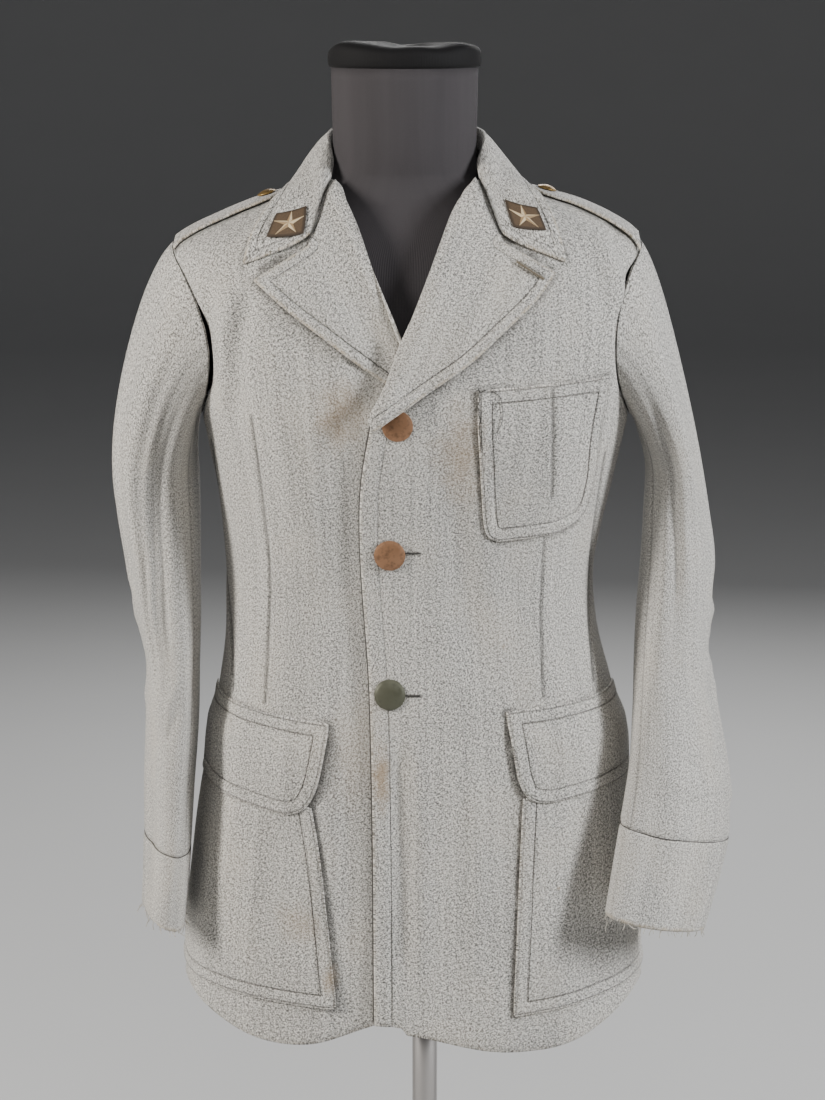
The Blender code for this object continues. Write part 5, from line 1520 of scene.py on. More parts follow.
def make_star(name, grid, normal, corners, base, light, dark):
    """A five-pointed star whose arms have a ridge; each arm's thread is painted lit on one half and painted shaded on
    the other.
    """
    points, lifts, faces, looks = [], [], [], []
    count = 5
    for k in range(count * 2):
        spin = math.pi / 2.0 + math.pi * k / count
        reach = 0.49 if k % 2 == 0 else 0.13
        points.append((0.5 + reach * math.cos(spin), 0.54 - reach * math.sin(spin)))
        lifts.append(0.25 if k % 2 == 0 else 0.1)
    points.append((0.5, 0.54))
    lifts.append(1.2)
    # Alternate faces round the centre take the painted lit and the painted shaded thread.
    for k in range(count * 2):
        faces.append((2 * count, k, (k + 1) % (2 * count)))
        looks.append(k % 2)
    under = len(points)
    points += points
    lifts += [-0.5] * under
    faces += [face[::-1] for face in [tuple(v + under for v in face) for face in faces]]
    looks += looks
    for k in range(count * 2):
        k2 = (k + 1) % (count * 2)
        faces += [(k2, k, k + under), (k2, k + under, k2 + under)]
        looks += [0, 0]
    u = np.array([p[0] for p in points])
    v = np.array([p[1] for p in points])
    place, lift = patch_surface(grid, normal, corners, u, v, base)
    place = place + lift * np.array(lifts)[:, None]
    mesh = bpy.data.meshes.new(name)
    mesh.from_pydata(in_metres(place).tolist(), [], faces)
    mesh.materials.append(light)
    mesh.materials.append(dark)
    mesh.polygons.foreach_set("material_index", looks)
    fix_outside(mesh)
    place_piece(new_object(name, mesh))


def fix_outside(mesh):
    """Turns a closed mesh's faces outwards."""
    import bmesh
    bm = bmesh.new()
    bm.from_mesh(mesh)
    bmesh.ops.recalc_face_normals(bm, faces=bm.faces)
    bm.to_mesh(mesh)
    bm.free()


def patch_plan(table, across, rows, angle_ends):
    """A pocket or flap as rows of across and height."""
    indexed = [(k,) + tuple(row) for k, row in enumerate(table)]
    _, inner, inner_height, outer, outer_height = rows_at(indexed, np.linspace(0, len(table) - 1, rows))
    start = front_angle(inner, inner_height)
    end = outer if angle_ends else front_angle(outer, outer_height)
    share = np.linspace(0.0, 1.0, across)[None]
    angle = start[:, None] + (end - start)[:, None] * share
    height = inner_height[:, None] + (outer_height - inner_height)[:, None] * share
    return angle, height


POCKETS = (
    ("breast_pocket", BREAST_POCKET, False, 0.0),
    ("hip_pocket_left", ((103, 526, 86, 535),) + LEFT_POCKET[1:], True, 0.0),
    ("hip_pocket_right", ((-85, 518, -88, 534),) + RIGHT_POCKET[1:], True, 0.0),
    ("hip_flap_left", LEFT_FLAP, True, 2.5),
    ("hip_flap_right", RIGHT_FLAP, True, 2.5),
)


def pocket_surface(table, angle_ends, over, across, rows):
    angle, height = patch_plan(table, across, rows, angle_ends)
    share = np.linspace(0.0, 1.0, rows)[:, None]
    out = LAID + TRIM / 2.0
    if over:
        out = 0.5 + TRIM / 2.0 + (LAID + over - 0.5) * smooth_step(share, 0.0, 0.3)
    return angle, height, out * np.ones(angle.shape)


def make_pockets():
    inset = bpy.context.scene.tunic_sizes.pocket_inset / MM
    look = wool_material("wool_pocket", first=inset, second=1.4, spots=STAINS, worn=0.1, sewn=0.4)
    for name, table, angle_ends, over in POCKETS:
        angle, height, out = pocket_surface(table, angle_ends, over, 84, 84)
        grid = body_point(angle, height, out)
        normal = body_normal(angle, height)
        border = np.concatenate((grid[0], grid[:, -1], grid[-1][::-1], grid[:, 0][::-1]))
        if angle_ends:
            border = np.concatenate((grid[:, 0], grid[-1]))
        edge = nearest_distance(grid, border)
        top = nearest_distance(grid, grid[0])
        if over:
            edge = np.where((top < edge) & (top > inset - 3.0), np.minimum(edge, top), edge)
            edge = np.minimum(edge, np.where(top < inset + 3.0, top, FAR))
        swell = np.where(edge < inset, 0.55 * (1.0 - (edge / inset * 2.0 - 1.0) ** 2), 0.0)
        swell = swell - 0.45 * np.exp(-(((edge - inset) / 1.4) ** 2))
        belly = smooth_step(edge, inset, inset + 26.0) * (1.6 if over else 1.0)
        outside = grid + normal * (TRIM / 2.0 + swell + belly)[..., None]
        inside = grid - normal * (TRIM / 2.0 - 0.6 * belly)[..., None]
        x = np.interp(angle, np.linspace(-180, 180, 721), ring_arc())
        uv = np.stack((x + 31.0 + over * 9.0, height + 5.0), -1)
        marks = {"edge": edge, "rim": nearest_distance(grid, border)}
        if not angle_ends:
            marks["seam"] = line_distance(grid[..., 0], height, FRONT_DARTS[2])[0]
        piece = cloth_mesh(name + "_cloth", outside, inside, uv, marks, look)
        sew_on(piece, name)


def ring_arc():
    ring = np.linspace(-180.0, 180.0, 721)
    return np.concatenate(([0.0], np.cumsum(np.linalg.norm(np.diff(ring_point(ring, 700.0), axis=0), axis=-1))))


def epaulette_surface(side, across, rows, out):
    line, middle, half = rows_at(EPAULETTE[::-1], np.linspace(EPAULETTE[-1][0], EPAULETTE[0][0], rows))
    share = np.linspace(-1.0, 1.0, across)[None]
    deep = middle[:, None] + half[:, None] * share
    return top_point(side * line[:, None] * np.ones(deep.shape), deep, out)


def make_epaulettes():
    inset = 5.0
    look = wool_material("wool_epaulette", first=inset)
    for side, name in ((1, "left"), (-1, "right")):
        grid = epaulette_surface(side, 40, 56, 2.4)
        normal = grid_normals(grid)
        if normal[..., 2].sum() < 0:
            normal = -normal
        border = np.concatenate((grid[:, 0][::-1], grid[0], grid[:, -1]))
        edge = nearest_distance(grid, border)
        swell = np.where(edge < inset, 0.5 * (1.0 - (edge / inset * 2.0 - 1.0) ** 2), 0.0)
        outside = grid + normal * (1.0 + swell)[..., None]
        inside = grid - normal
        u, v = np.meshgrid(np.linspace(0, 50, 40), np.linspace(0, 96, 56))
        piece = cloth_mesh(
            "epaulette_%s_cloth" % name, outside, inside, np.stack((u, v), -1), {"edge": edge, "rim": edge}, look)
        sew_on(piece, "epaulette_" + name)


def lathe_mesh(name, profile, place, normal, material, steps=48):
    """A turned piece: radius and height along an axis, closed at both ends."""
    way = unit(np.asarray(normal, dtype=float))
    guide = np.array((0.0, 0.0, 1.0)) if abs(way[2]) < 0.9 else np.array((1.0, 0.0, 0.0))
    side = unit(np.cross(guide, way))
    other = np.cross(way, side)
    spin = np.linspace(0.0, 2.0 * math.pi, steps, endpoint=False)
    ring = np.cos(spin)[:, None] * side + np.sin(spin)[:, None] * other
    points = [place + way * height + ring * radius for radius, height in profile]
    faces = []
    for j in range(len(profile) - 1):
        for i in range(steps):
            k = (i + 1) % steps
            faces.append((j * steps + i, j * steps + k, (j + 1) * steps + k, (j + 1) * steps + i))
    points = np.concatenate(points)
    if profile[0] != profile[-1]:
        faces.append(tuple(range(steps))[::-1])
        faces.append(tuple(range(len(points) - steps, len(points))))
    mesh = bpy.data.meshes.new(name)
    mesh.from_pydata(in_metres(points).tolist(), [], faces)
    if profile[0] == profile[-1]:
        import bmesh
        bm = bmesh.new()
        bm.from_mesh(mesh)
        bmesh.ops.remove_doubles(bm, verts=bm.verts, dist=1e-6)
        bm.to_mesh(mesh)
        bm.free()
    fix_outside(mesh)
    mesh.shade_smooth()
    mesh.materials.append(material)
    return new_object(name, mesh)


def dome_profile(radius, dome):
    """A pressed button: flat back, turned edge, small step and dome."""
    points = [(radius * 0.02, 0.0), (radius * 0.9, 0.0), (radius * 0.96, 0.1), (radius, dome * 0.16)]
    points += [(radius * 0.995, dome * 0.26), (radius * 0.97, dome * 0.34), (radius * 0.94, dome * 0.355)]
    for share in (0.9, 0.8, 0.66, 0.5, 0.33, 0.16, 0.02):
        points.append((radius * share, dome * (0.36 + 0.64 * math.cos(share / 0.94 * math.pi / 2.0) ** 0.8)))
    return points


def button_looks():
    colours = bpy.context.scene.tunic_colours
    return {
        "copper": metal_material("worn_copper", [c * 0.85 for c in colours.copper], [c * 0.5 for c in colours.copper], 0.6, 0.5),
        "bronze": metal_material("grey_green_patina", [c * 0.75 for c in colours.bronze], [c * 0.5 for c in colours.bronze], 0.4, 0.35),
        "brass": metal_material("aged_brass", colours.brass, [c * 0.4 for c in colours.brass], 0.6, 0.8),
    }


def make_buttons():
    looks = button_looks()
    for name, across, height, radius, dome, look, room in BUTTONS:
        angle = front_angle(np.array(float(across)), float(height))
        place = body_point(angle, float(height), room, fine=False)
        way = body_normal(angle, float(height))
        piece = lathe_mesh(name + "_metal", dome_profile(radius, dome), place, way, looks[look])
        place_piece(piece, (name,))
    for side, name in ((1, "left"), (-1, "right")):
        place = top_point(side * 124.0, -7.0, 4.0)
        near = top_point(side * 124.0, -7.0, 5.0)
        piece = lathe_mesh(
            "epaulette_button_%s_metal" % name, dome_profile(8.5, 3.6), place, near - place, looks["brass"])
        place_piece(piece, ("epaulette_button_" + name,))


def geometry_tree(name, sockets):
    tree = bpy.data.node_groups.new(name, "GeometryNodeTree")
    tree.is_modifier = True
    tree.interface.new_socket("Geometry", in_out="INPUT", socket_type="NodeSocketGeometry")
    for label, kind, value in sockets:
        socket = tree.interface.new_socket(label, in_out="INPUT", socket_type=kind)
        if value is not None:
            socket.default_value = value
    tree.interface.new_socket("Geometry", in_out="OUTPUT", socket_type="NodeSocketGeometry")
    return NodeBench(tree)


def stitch_tree():
    """Stitches laid along lines at a pitch."""
    tree = bpy.data.node_groups.get("sewing_stitches")
    if tree:
        return tree
    bench = geometry_tree("sewing_stitches", (
        ("Pitch", "NodeSocketFloat", 0.0027), ("Length", "NodeSocketFloat", 0.0018),
        ("Thickness", "NodeSocketFloat", 0.0005), ("Material", "NodeSocketMaterial", None)))
    given = bench.add("NodeGroupInput").outputs
    curve = bench.add("GeometryNodeMeshToCurve", {"Mesh": given["Geometry"]}).outputs[0]
    run = bench.add("GeometryNodeResampleCurve", {"Curve": curve, "Length": given["Pitch"]}, mode="LENGTH").outputs[0]
    ball = bench.add("GeometryNodeMeshUVSphere", {"Segments": 6, "Rings": 4, "Radius": 0.5}).outputs[0]
    size = bench.add("ShaderNodeCombineXYZ", {
        "X": given["Thickness"], "Y": given["Thickness"], "Z": given["Length"]}).outputs[0]
    stitch = bench.add("GeometryNodeTransform", {"Geometry": ball, "Scale": size}).outputs[0]
    tangent = bench.add("GeometryNodeInputTangent").outputs[0]
    turn = bench.add("FunctionNodeAlignRotationToVector", {"Vector": tangent}, axis="Z").outputs[0]
    laid = bench.add("GeometryNodeInstanceOnPoints", {
        "Points": run, "Instance": stitch, "Rotation": turn}).outputs[0]
    solid = bench.add("GeometryNodeRealizeInstances", {"Geometry": laid}).outputs[0]
    smooth = bench.add("GeometryNodeSetShadeSmooth", {"Geometry": solid}).outputs[0]
    ready = bench.add("GeometryNodeSetMaterial", {"Geometry": smooth, "Material": given["Material"]}).outputs[0]
    bench.add("NodeGroupOutput", {"Geometry": ready})
    return bench.tree


def fray_tree():
    """Short bent threads that stick out along lines at random."""
    tree = bpy.data.node_groups.get("frayed_threads")
    if tree:
        return tree
    bench = geometry_tree("frayed_threads", (
        ("Count", "NodeSocketInt", 20), ("Length", "NodeSocketFloat", 0.008),
        ("Thickness", "NodeSocketFloat", 0.0003), ("Seed", "NodeSocketInt", 1),
        ("Material", "NodeSocketMaterial", None)))
    given = bench.add("NodeGroupInput").outputs
    curve = bench.add("GeometryNodeMeshToCurve", {"Mesh": given["Geometry"]}).outputs[0]
    run = bench.add("GeometryNodeResampleCurve", {"Curve": curve, "Count": given["Count"]}, mode="COUNT").outputs[0]
    bend = bench.add("GeometryNodeCurveQuadraticBezier", {
        "Resolution": 6, "Start": (0.0, 0.0, 0.0), "Middle": (0.35, 0.1, -0.5), "End": (0.1, 0.3, -1.0)}).outputs[0]
    long = bench.add("GeometryNodeTransform", {"Geometry": bend}).outputs[0]
    ring = bench.add("GeometryNodeCurvePrimitiveCircle", {"Resolution": 5, "Radius": 0.04}).outputs[0]
    thread = bench.add("GeometryNodeCurveToMesh", {
        "Curve": long, "Profile Curve": ring, "Fill Caps": True}).outputs[0]
    turn = bench.add("FunctionNodeRandomValue", {
        0: (-0.7, -0.7, 0.0), 1: (0.7, 0.7, 6.28), "Seed": given["Seed"]}, data_type="FLOAT_VECTOR").outputs[0]
    size = bench.add("FunctionNodeRandomValue", {2: 0.35, 3: 1.0, "Seed": given["Seed"]}, data_type="FLOAT").outputs[1]
    scale = bench.math("MULTIPLY", size, given["Length"])
    laid = bench.add("GeometryNodeInstanceOnPoints", {
        "Points": run, "Instance": thread, "Rotation": turn, "Scale": scale}).outputs[0]
    solid = bench.add("GeometryNodeRealizeInstances", {"Geometry": laid}).outputs[0]
    ready = bench.add("GeometryNodeSetMaterial", {"Geometry": solid, "Material": given["Material"]}).outputs[0]
    bench.add("NodeGroupOutput", {"Geometry": ready})
    return bench.tree


def grown(name, lines, tree, values):
    """Runs a geometry tree on lines of points and keeps its result as a plain mesh."""
    points, edges = [], []
    for line in lines:
        start = len(points)
        points += in_metres(line).tolist()
        edges += [(start + k, start + k + 1) for k in range(len(line) - 1)]
    mesh = bpy.data.meshes.new(name + "_lines")
    mesh.from_pydata(points, edges, [])
    holder = bpy.data.objects.new(name + "_lines", mesh)
    tunic_collection().objects.link(holder)
    modifier = holder.modifiers.new("made", "NODES")
    modifier.node_group = tree
    for item in tree.interface.items_tree:
        if item.item_type == "SOCKET" and item.in_out == "INPUT" and item.name in values:
            modifier[item.identifier] = values[item.name]
    holder.update_tag()
    bpy.context.view_layer.update()
    depsgraph = bpy.context.evaluated_depsgraph_get()
    result = bpy.data.meshes.new_from_object(holder.evaluated_get(depsgraph))
    result.name = name
    bpy.data.objects.remove(holder)
    bpy.data.meshes.remove(mesh)
    if not result.polygons:
        raise RuntimeError(name + " came out empty")
    return new_object(name, result)


def stitched(name, lines, material, pitch=None):
    sizes = bpy.context.scene.tunic_sizes
    pitch = pitch or sizes.stitch_pitch
    piece = grown(name, lines, stitch_tree(), {
        "Pitch": pitch, "Length": pitch * 0.68, "Thickness": sizes.thread_thickness, "Material": material})
    return place_piece(piece)


def inset_line(line, inset, side):
    """A plan line moved sideways by an inset."""
    line = np.asarray(line, dtype=float)
    way = unit(np.gradient(line, axis=0))
    return line + np.stack((-way[:, 1], way[:, 0]), -1) * inset * side


def grid_inset_lines(grid, normal, edge, inset, out):
    """Lines of points where the distance from an edge passes the inset, row by row."""
    line = []
    for j in range(grid.shape[0]):
        row = edge[j]
        crossing = np.nonzero((row[:-1] - inset) * (row[1:] - inset) < 0)[0]
        if len(crossing):
            i = crossing[-1]
            t = (inset - row[i]) / (row[i + 1] - row[i])
            line.append(grid[j, i] * (1 - t) + grid[j, i + 1] * t + normal[j, i] * out)
    return np.array(line)


def make_stitches(grid, normal):
    """Topstitching of fronts, lapels, collar, pockets and flaps."""
    colours = bpy.context.scene.tunic_colours
    sizes = bpy.context.scene.tunic_sizes
    thread = thread_material("sewing_thread", colours.thread)
    soft = thread_material("grey_thread", [channel * 2.8 for channel in colours.thread])
    lines = []
    edge = along(LEFT_EDGE, np.linspace(0.01, 0.97, 90)) + (sizes.front_inset / MM, 0.0)
    lines.append(front_point(edge[:, 0], edge[:, 1], -0.5))
    stitched("front_stitches", lines, soft)
    lines = []
    inset = sizes.lapel_inset / MM
    for name, plan, laid, lift, base, _ in lapel_pieces():
        side = 1 if name == "left" else -1
        free = plan[:, -1]
        width = np.linalg.norm(plan[:, -1] - plan[:, 0], axis=-1)
        keep = np.nonzero(width > inset + 6.0)[0]
        line = inset_line(free[keep[0]:-9], inset, side)
        grown_up = 1.9 * math.exp(-((inset / 11.0) ** 2)) * smooth_step(width[keep[0]:-9], 20.0, 60.0)
        lines.append(front_point(
            line[:, 0], line[:, 1], laid + base(line[:, 0], line[:, 1]) + TRIM / 2.0 - 0.2 + grown_up))
        top = inset_line(plan[-1, plan.shape[1] // 2 + 8:-7], inset, -side)
        lines.append(front_point(top[:, 0], top[:, 1], laid + base(top[:, 0], top[:, 1]) + TRIM / 2.0 - 0.2))
    stitched("lapel_stitches", lines, soft)
    inset = sizes.collar_inset / MM
    fall = 4 * COLLAR_ACROSS
    distance = np.linalg.norm(np.diff(grid[:, fall:], axis=1), axis=-1)
    left = np.concatenate((np.cumsum(distance[:, ::-1], axis=1)[:, ::-1], np.zeros((len(grid), 1))), axis=1)
    line = grid_inset_lines(grid[:, fall:], normal[:, fall:], left, inset, TRIM / 2.0 - 0.15)
    stitched("collar_stitches", [line[5:-5]], soft)
    inset = sizes.pocket_inset / MM
    for row, distance in ((row, distance) for row in POCKETS for distance in (1.8, inset)):
        name, table, angle_ends, over = row
        rows = 60
        lines = []
        if distance:
            angle, height, out = pocket_surface(table, angle_ends, over, 61, rows)
            surface = body_point(angle, height, out + TRIM / 2.0)
            lift = body_normal(angle, height)
            across = np.cumsum(np.linalg.norm(np.diff(surface, axis=1), axis=-1), axis=1)
            across = np.concatenate((np.zeros((rows, 1)), across), axis=1)
            down = np.cumsum(np.linalg.norm(np.diff(surface, axis=0), axis=-1), axis=0)
            down = np.concatenate((np.zeros((1, 61)), down), axis=0)
            near = down.max(axis=0, keepdims=True) - down
            ready = surface + lift * 0.1
            upright = [ready[j, np.argmin(np.abs(across[j] - distance))] for j in range(rows)
                       if near[j, 8] > distance and (over == 0 or down[j, 8] > 1)]
            level = [ready[np.argmin(np.abs(near[:, i] - distance)), i] for i in range(61)
                     if across[-10, i] > distance]
            top = [ready[np.argmin(np.abs(down[:, i] - distance)), i] for i in range(61)
                   if across[4, i] > distance]
            if angle_ends and not over:
                top = []
            for line in (upright, level, top):
                line = np.array(line)
                if len(line) > 6:
                    lines.append(smoothed(line))
            if not angle_ends:
                other = across.max(axis=1, keepdims=True) - across
                far = [ready[j, np.argmin(np.abs(other[j] - distance))] for j in range(rows) if near[j, 50] > distance]
                lines.append(smoothed(np.array(far)))
        label = name + ("_outer_stitches" if distance == 1.8 else "_inner_stitches")
        stitched(label, lines, thread if distance == 1.8 else soft)


def make_seams():
    """Sewn seams and darts show as thin dark lines, and a dark tube under the left front's edge is painted shadow of
    the overlapping front.
    """
    colours = bpy.context.scene.tunic_colours
    dark = thread_material("seam_shade", [channel * 1.3 for channel in colours.thread])
    lines = []
    for dart in FRONT_DARTS:
        line = along(dart, np.linspace(0.0, 1.0, 50))
        lines.append(front_point(line[:, 0], line[:, 1], -0.2))
    for dart in BACK_DARTS:
        line = along(dart, np.linspace(0.0, 1.0, 60))
        angle = 180.0 - np.abs(front_angle(line[:, 0], line[:, 1]))
        lines.append(body_point(np.sign(line[:, 0]) * angle, line[:, 1], -0.2))
    for name, plan, laid, lift, base, _ in lapel_pieces():
        line = plan[-1, 3:plan.shape[1] // 2 - 1] + (0.6 if name == "left" else -0.6, 0.4)
        lines.append(front_point(line[:, 0], line[:, 1], 3.4))
    # Painted shadow: a dark tube where the overlapping left front shades the right front along its edge.
    edge = along(LEFT_EDGE, np.linspace(0.005, 0.99, 80)) - (2.0, 0.0)
    place_piece(tube_mesh("front_edge_shade", [front_point(edge[:, 0], edge[:, 1], -4.0)], 0.75, dark, sides=6))
    turns = np.linspace(0.0, 360.0, 97)
    for side in (1, -1):
        rows, folds, creases = sleeve_tables(side)
        ring = sleeve_ring(rows, folds, creases, side, turns, CUFF_SEAM[side])
        middle = ring.mean(axis=0)
        lines.append(ring - unit(ring - middle) * 0.1)
        angle, height = armhole_place(turns)
        lines.append(body_point(angle * side, height, 0.1, fine=False))
    place_piece(tube_mesh("seam_lines", lines, 0.42, dark, sides=5))


def smoothed(line):
    """A line of points without its small steps."""
    for _ in range(3):
        line[1:-1] = (line[:-2] + line[1:-1] * 2.0 + line[2:]) / 4.0
    return line


def oval_line(centre, way, half_long, half_wide, out):
    """A long oval on the front: a worked buttonhole."""
    spin = np.linspace(0.0, 2.0 * math.pi, 40)
    way = unit(np.array(way, dtype=float))
    other = np.array((-way[1], way[0]))
    plan = np.array(centre) + np.cos(spin)[:, None] * way * half_long + np.sin(spin)[:, None] * other * half_wide
    return front_point(plan[:, 0], plan[:, 1], out)


def tube_mesh(name, lines, radius, material, sides=6):
    """Round threads along lines of points."""
    points, faces = [], []
    spin = np.linspace(0.0, 2.0 * math.pi, sides, endpoint=False)
    for line in lines:
        line = np.asarray(line, dtype=float)
        way = unit(np.gradient(line, axis=0))
        side = unit(np.cross(way, np.array((0.3, 0.2, 1.0))))
        other = np.cross(way, side)
        rings = line[:, None] + radius * (
            np.cos(spin)[None, :, None] * side[:, None] + np.sin(spin)[None, :, None] * other[:, None])
        start = len(points)
        points += rings.reshape(-1, 3).tolist()
        for j in range(len(line) - 1):
            for i in range(sides):
                k = (i + 1) % sides
                faces.append(tuple(start + v for v in (
                    j * sides + i, j * sides + k, (j + 1) * sides + k, (j + 1) * sides + i)))
        faces.append(tuple(start + i for i in range(sides))[::-1])
        faces.append(tuple(start + (len(line) - 1) * sides + i for i in range(sides)))
    mesh = bpy.data.meshes.new(name)
    mesh.from_pydata(in_metres(points).tolist(), [], faces)
    fix_outside(mesh)
    mesh.shade_smooth()
    mesh.materials.append(material)
    return new_object(name, mesh)


def make_buttonholes():
    """Worked buttonholes beside the buttons and in the left lapel."""
    colours = bpy.context.scene.tunic_colours
    thread = thread_material("buttonhole_thread", colours.thread)
    brown = thread_material("lapel_hole_thread", colours.hole_thread)
    holes = [oval_line((3.0, 748.5), (1.0, 0.05), 9.5, 1.3, 0.45), oval_line((3.5, 621.0), (1.0, 0.02), 10.0, 1.3, 0.45)]
    stitched("buttonhole_stitches", holes, thread, pitch=0.0011)
    slits = [front_point(np.linspace(-4.0, 12.0, 9), np.full(9, height), 0.15) for height in (748.5, 621.0)]
    place_piece(tube_mesh("buttonhole_slits", slits, 0.7, thread))
    middle = np.array((105.5, 992.0))
    way = unit(np.array((24.0, -15.0)))
    ovals = [oval_line(middle, way, 14.5, wide, 6.4) for wide in (1.2, 2.0)]
    stitched("lapel_hole_stitches", ovals, brown, pitch=0.0011)
    slit = middle + np.linspace(-13.5, 13.5, 12)[:, None] * way
    place_piece(tube_mesh("lapel_hole_slit", [front_point(slit[:, 0], slit[:, 1], 6.2)], 0.9, brown))


def make_threads():
    """Loose threads and frayed edges."""
    colours = bpy.context.scene.tunic_colours
    sizes = bpy.context.scene.tunic_sizes
    dark = thread_material("sewing_thread", colours.thread)
    pale = thread_material("pale_thread", colours.fray)
    x = np.array((72, 75, 80, 82, 82, 79, 76), dtype=float)
    z = np.array((893, 892, 887, 878, 868, 860, 856), dtype=float)
    loop = along(np.stack((x, z), -1), np.linspace(0, 1, 24))
    lines = [front_point(loop[:, 0], loop[:, 1], 4.0)]
    place_piece(tube_mesh("loose_pocket_thread", lines, 0.3, dark))
    x = np.array((61, 62, 61, 63, 62, 64, 63), dtype=float)
    worked = along(np.stack((x, np.linspace(896, 842, 7)), -1), np.linspace(0, 1, 50))
    wobble = np.sin(np.linspace(0.0, 40.0, 50)) * 0.6
    lines = [front_point(worked[:, 0] + wobble, worked[:, 1], 3.2), front_point(
        np.linspace(59.0, 68.0, 12), 893.0 + np.sin(np.linspace(0, 9, 12)), 3.6)]
    place_piece(tube_mesh("worked_pocket_thread", lines, 0.42, dark))
    angle, height = armhole_place(np.array((-70.0, -66.0, -62.0, -58.0)))
    armhole = body_point(angle, height, 1.2) + np.array(((0, 0, 0), (-2, -2, -1), (1, -3, 0), (3, -2, 2)))
    place_piece(tube_mesh("loose_armhole_thread", [along(armhole, np.linspace(0, 1, 14))], 0.25, dark))
    cuff, way = cuff_surface(1, np.array((182.0, 186.0, 190.0, 194.0)), 6)
    start = cuff[-1, 1]
    drop = start + np.array(((0, 0, 2), (-1, -2, -3), (1, -3, -8), (-1, -3, -13), (0, -2, -17)))
    place_piece(tube_mesh("loose_cuff_thread", [along(drop, np.linspace(0, 1, 20))], 0.3, pale))
    turns = np.linspace(0.0, 360.0, 60)
    lines = []
    for side in (1, -1):
        grid, _ = cuff_surface(side, turns, 6, grow=-0.8)
        lines.append(grid[-1])
    piece = grown("cuff_fray", lines, fray_tree(), {
        "Count": sizes.fray_count, "Length": sizes.fray_length, "Seed": 7, "Material": pale})
    place_piece(piece)


def form_clearance(angle, height):
    from_side = np.abs(np.abs(angle) - 90.0)
    free = FORM_CLEAR + 4.0 * smooth_step(from_side, 60.0, 0.0)
    carried = smooth_step(height, 985.0, 1016.0) * (1.0 - smooth_step(from_side, 34.0, 58.0))
    carried = carried * (1.0 - 0.7 * smooth_step(height, 1040.0, 1058.0))
    return free + (SHOULDER_CLEAR - free) * carried


def loft_mesh(name, rings, material):
    """A closed solid through rings of points, with a fan at each end."""
    up, wide = rings.shape[0], rings.shape[1]
    points = np.concatenate((rings.reshape(-1, 3), rings[0].mean(0)[None], rings[-1].mean(0)[None]))
    faces, corners = [], []
    around = np.linalg.norm(np.diff(rings[up // 2], axis=0), axis=-1).sum()
    down = np.concatenate(([0.0], np.cumsum(np.linalg.norm(np.diff(rings[:, 0], axis=0), axis=-1))))
    for j in range(up - 1):
        for i in range(wide):
            k = (i + 1) % wide
            faces.append((j * wide + i, j * wide + k, (j + 1) * wide + k, (j + 1) * wide + i))
            corners += [(i, j), (i + 1, j), (i + 1, j + 1), (i, j + 1)]
    for ring, turn in ((0, -1), (up - 1, 1)):
        middle = up * wide + (0 if ring == 0 else 1)
        for i in range(wide):
            k = (i + 1) % wide
            faces.append((ring * wide + i, ring * wide + k, middle)[::turn])
            corners += [(i, ring), (i + 1, ring), (i + 0.5, ring)][::turn]
    uv = np.array([(around * i / wide, down[j]) for i, j in corners]) * MM
    mesh = bpy.data.meshes.new(name)
    mesh.from_pydata(in_metres(points).tolist(), [], faces)
    mesh.uv_layers.new(name="cloth").data.foreach_set("uv", uv.astype(np.float32).ravel())
    mesh.shade_smooth()
    mesh.materials.append(material)
    return new_object(name, mesh)


def make_form():
    look = jersey_material("black_jersey", 1.0)
    around = 112
    angle = np.linspace(-180.0, 180.0, around, endpoint=False)
    heights = np.concatenate((
        np.linspace(FORM_LOW, 985.0, 40), np.linspace(992.0, 1058.0, 12)))
    rings = []
    for height in heights:
        ring = ring_point(angle, height) - body_normal(angle, height) * form_clearance(angle, height)[:, None]
        if height == FORM_LOW:
            ring[:, 2] = FORM_LOW
        rings.append(ring)
    turn = np.radians(angle)
    for height in (1070.0, 1075.0, 1080.0, 1086.0, 1095.0, 1110.0, 1125.0, 1140.0, 1155.0, FORM_NECK_TOP):
        _, wide, front, back = rows_at(NECK_ROWS, height)
        deep = np.where(np.cos(turn) > 0, front, back)
        rings.append(np.stack((wide * np.sin(turn) - 2.0, -deep * np.cos(turn), np.full(around, height)), -1))
    place_piece(loft_mesh("form_torso_jersey", np.array(rings), look), ("form_torso",))
    cap = []
    for rise, size in (
            (SEAM, 1.0), (1.0, 1.02), (3.0, 1.03), (6.0, 1.036), (9.0, 1.035), (12.0, 1.03), (14.0, 1.02),
            (16.0, 0.99), (17.5, 0.95), (18.6, 0.88), (19.0, 0.78), (18.4, 0.6), (18.0, 0.3)):
        deep = np.where(np.cos(turn) > 0, 60.0, 62.0)
        lump = np.zeros(around)
        for centre, high in ((-55.0, 5.0), (62.0, 3.5)):
            away = (np.degrees(turn) - centre) / 24.0
            lump += high * np.exp(-away * away) * smooth_step(rise, 3.0, 17.0)
        lump += 0.5 * np.sin(turn * 9.0) * smooth_step(rise, 8.0, 18.0)
        cap.append(np.stack((
            66.0 * size * np.sin(turn) - 2.0, -deep * size * np.cos(turn), FORM_NECK_TOP + rise + lump), -1))
    cloth = jersey_material("cap_jersey", 0.1)
    place_piece(loft_mesh("form_cap_jersey", np.array(cap), cloth), ("form_cap",))


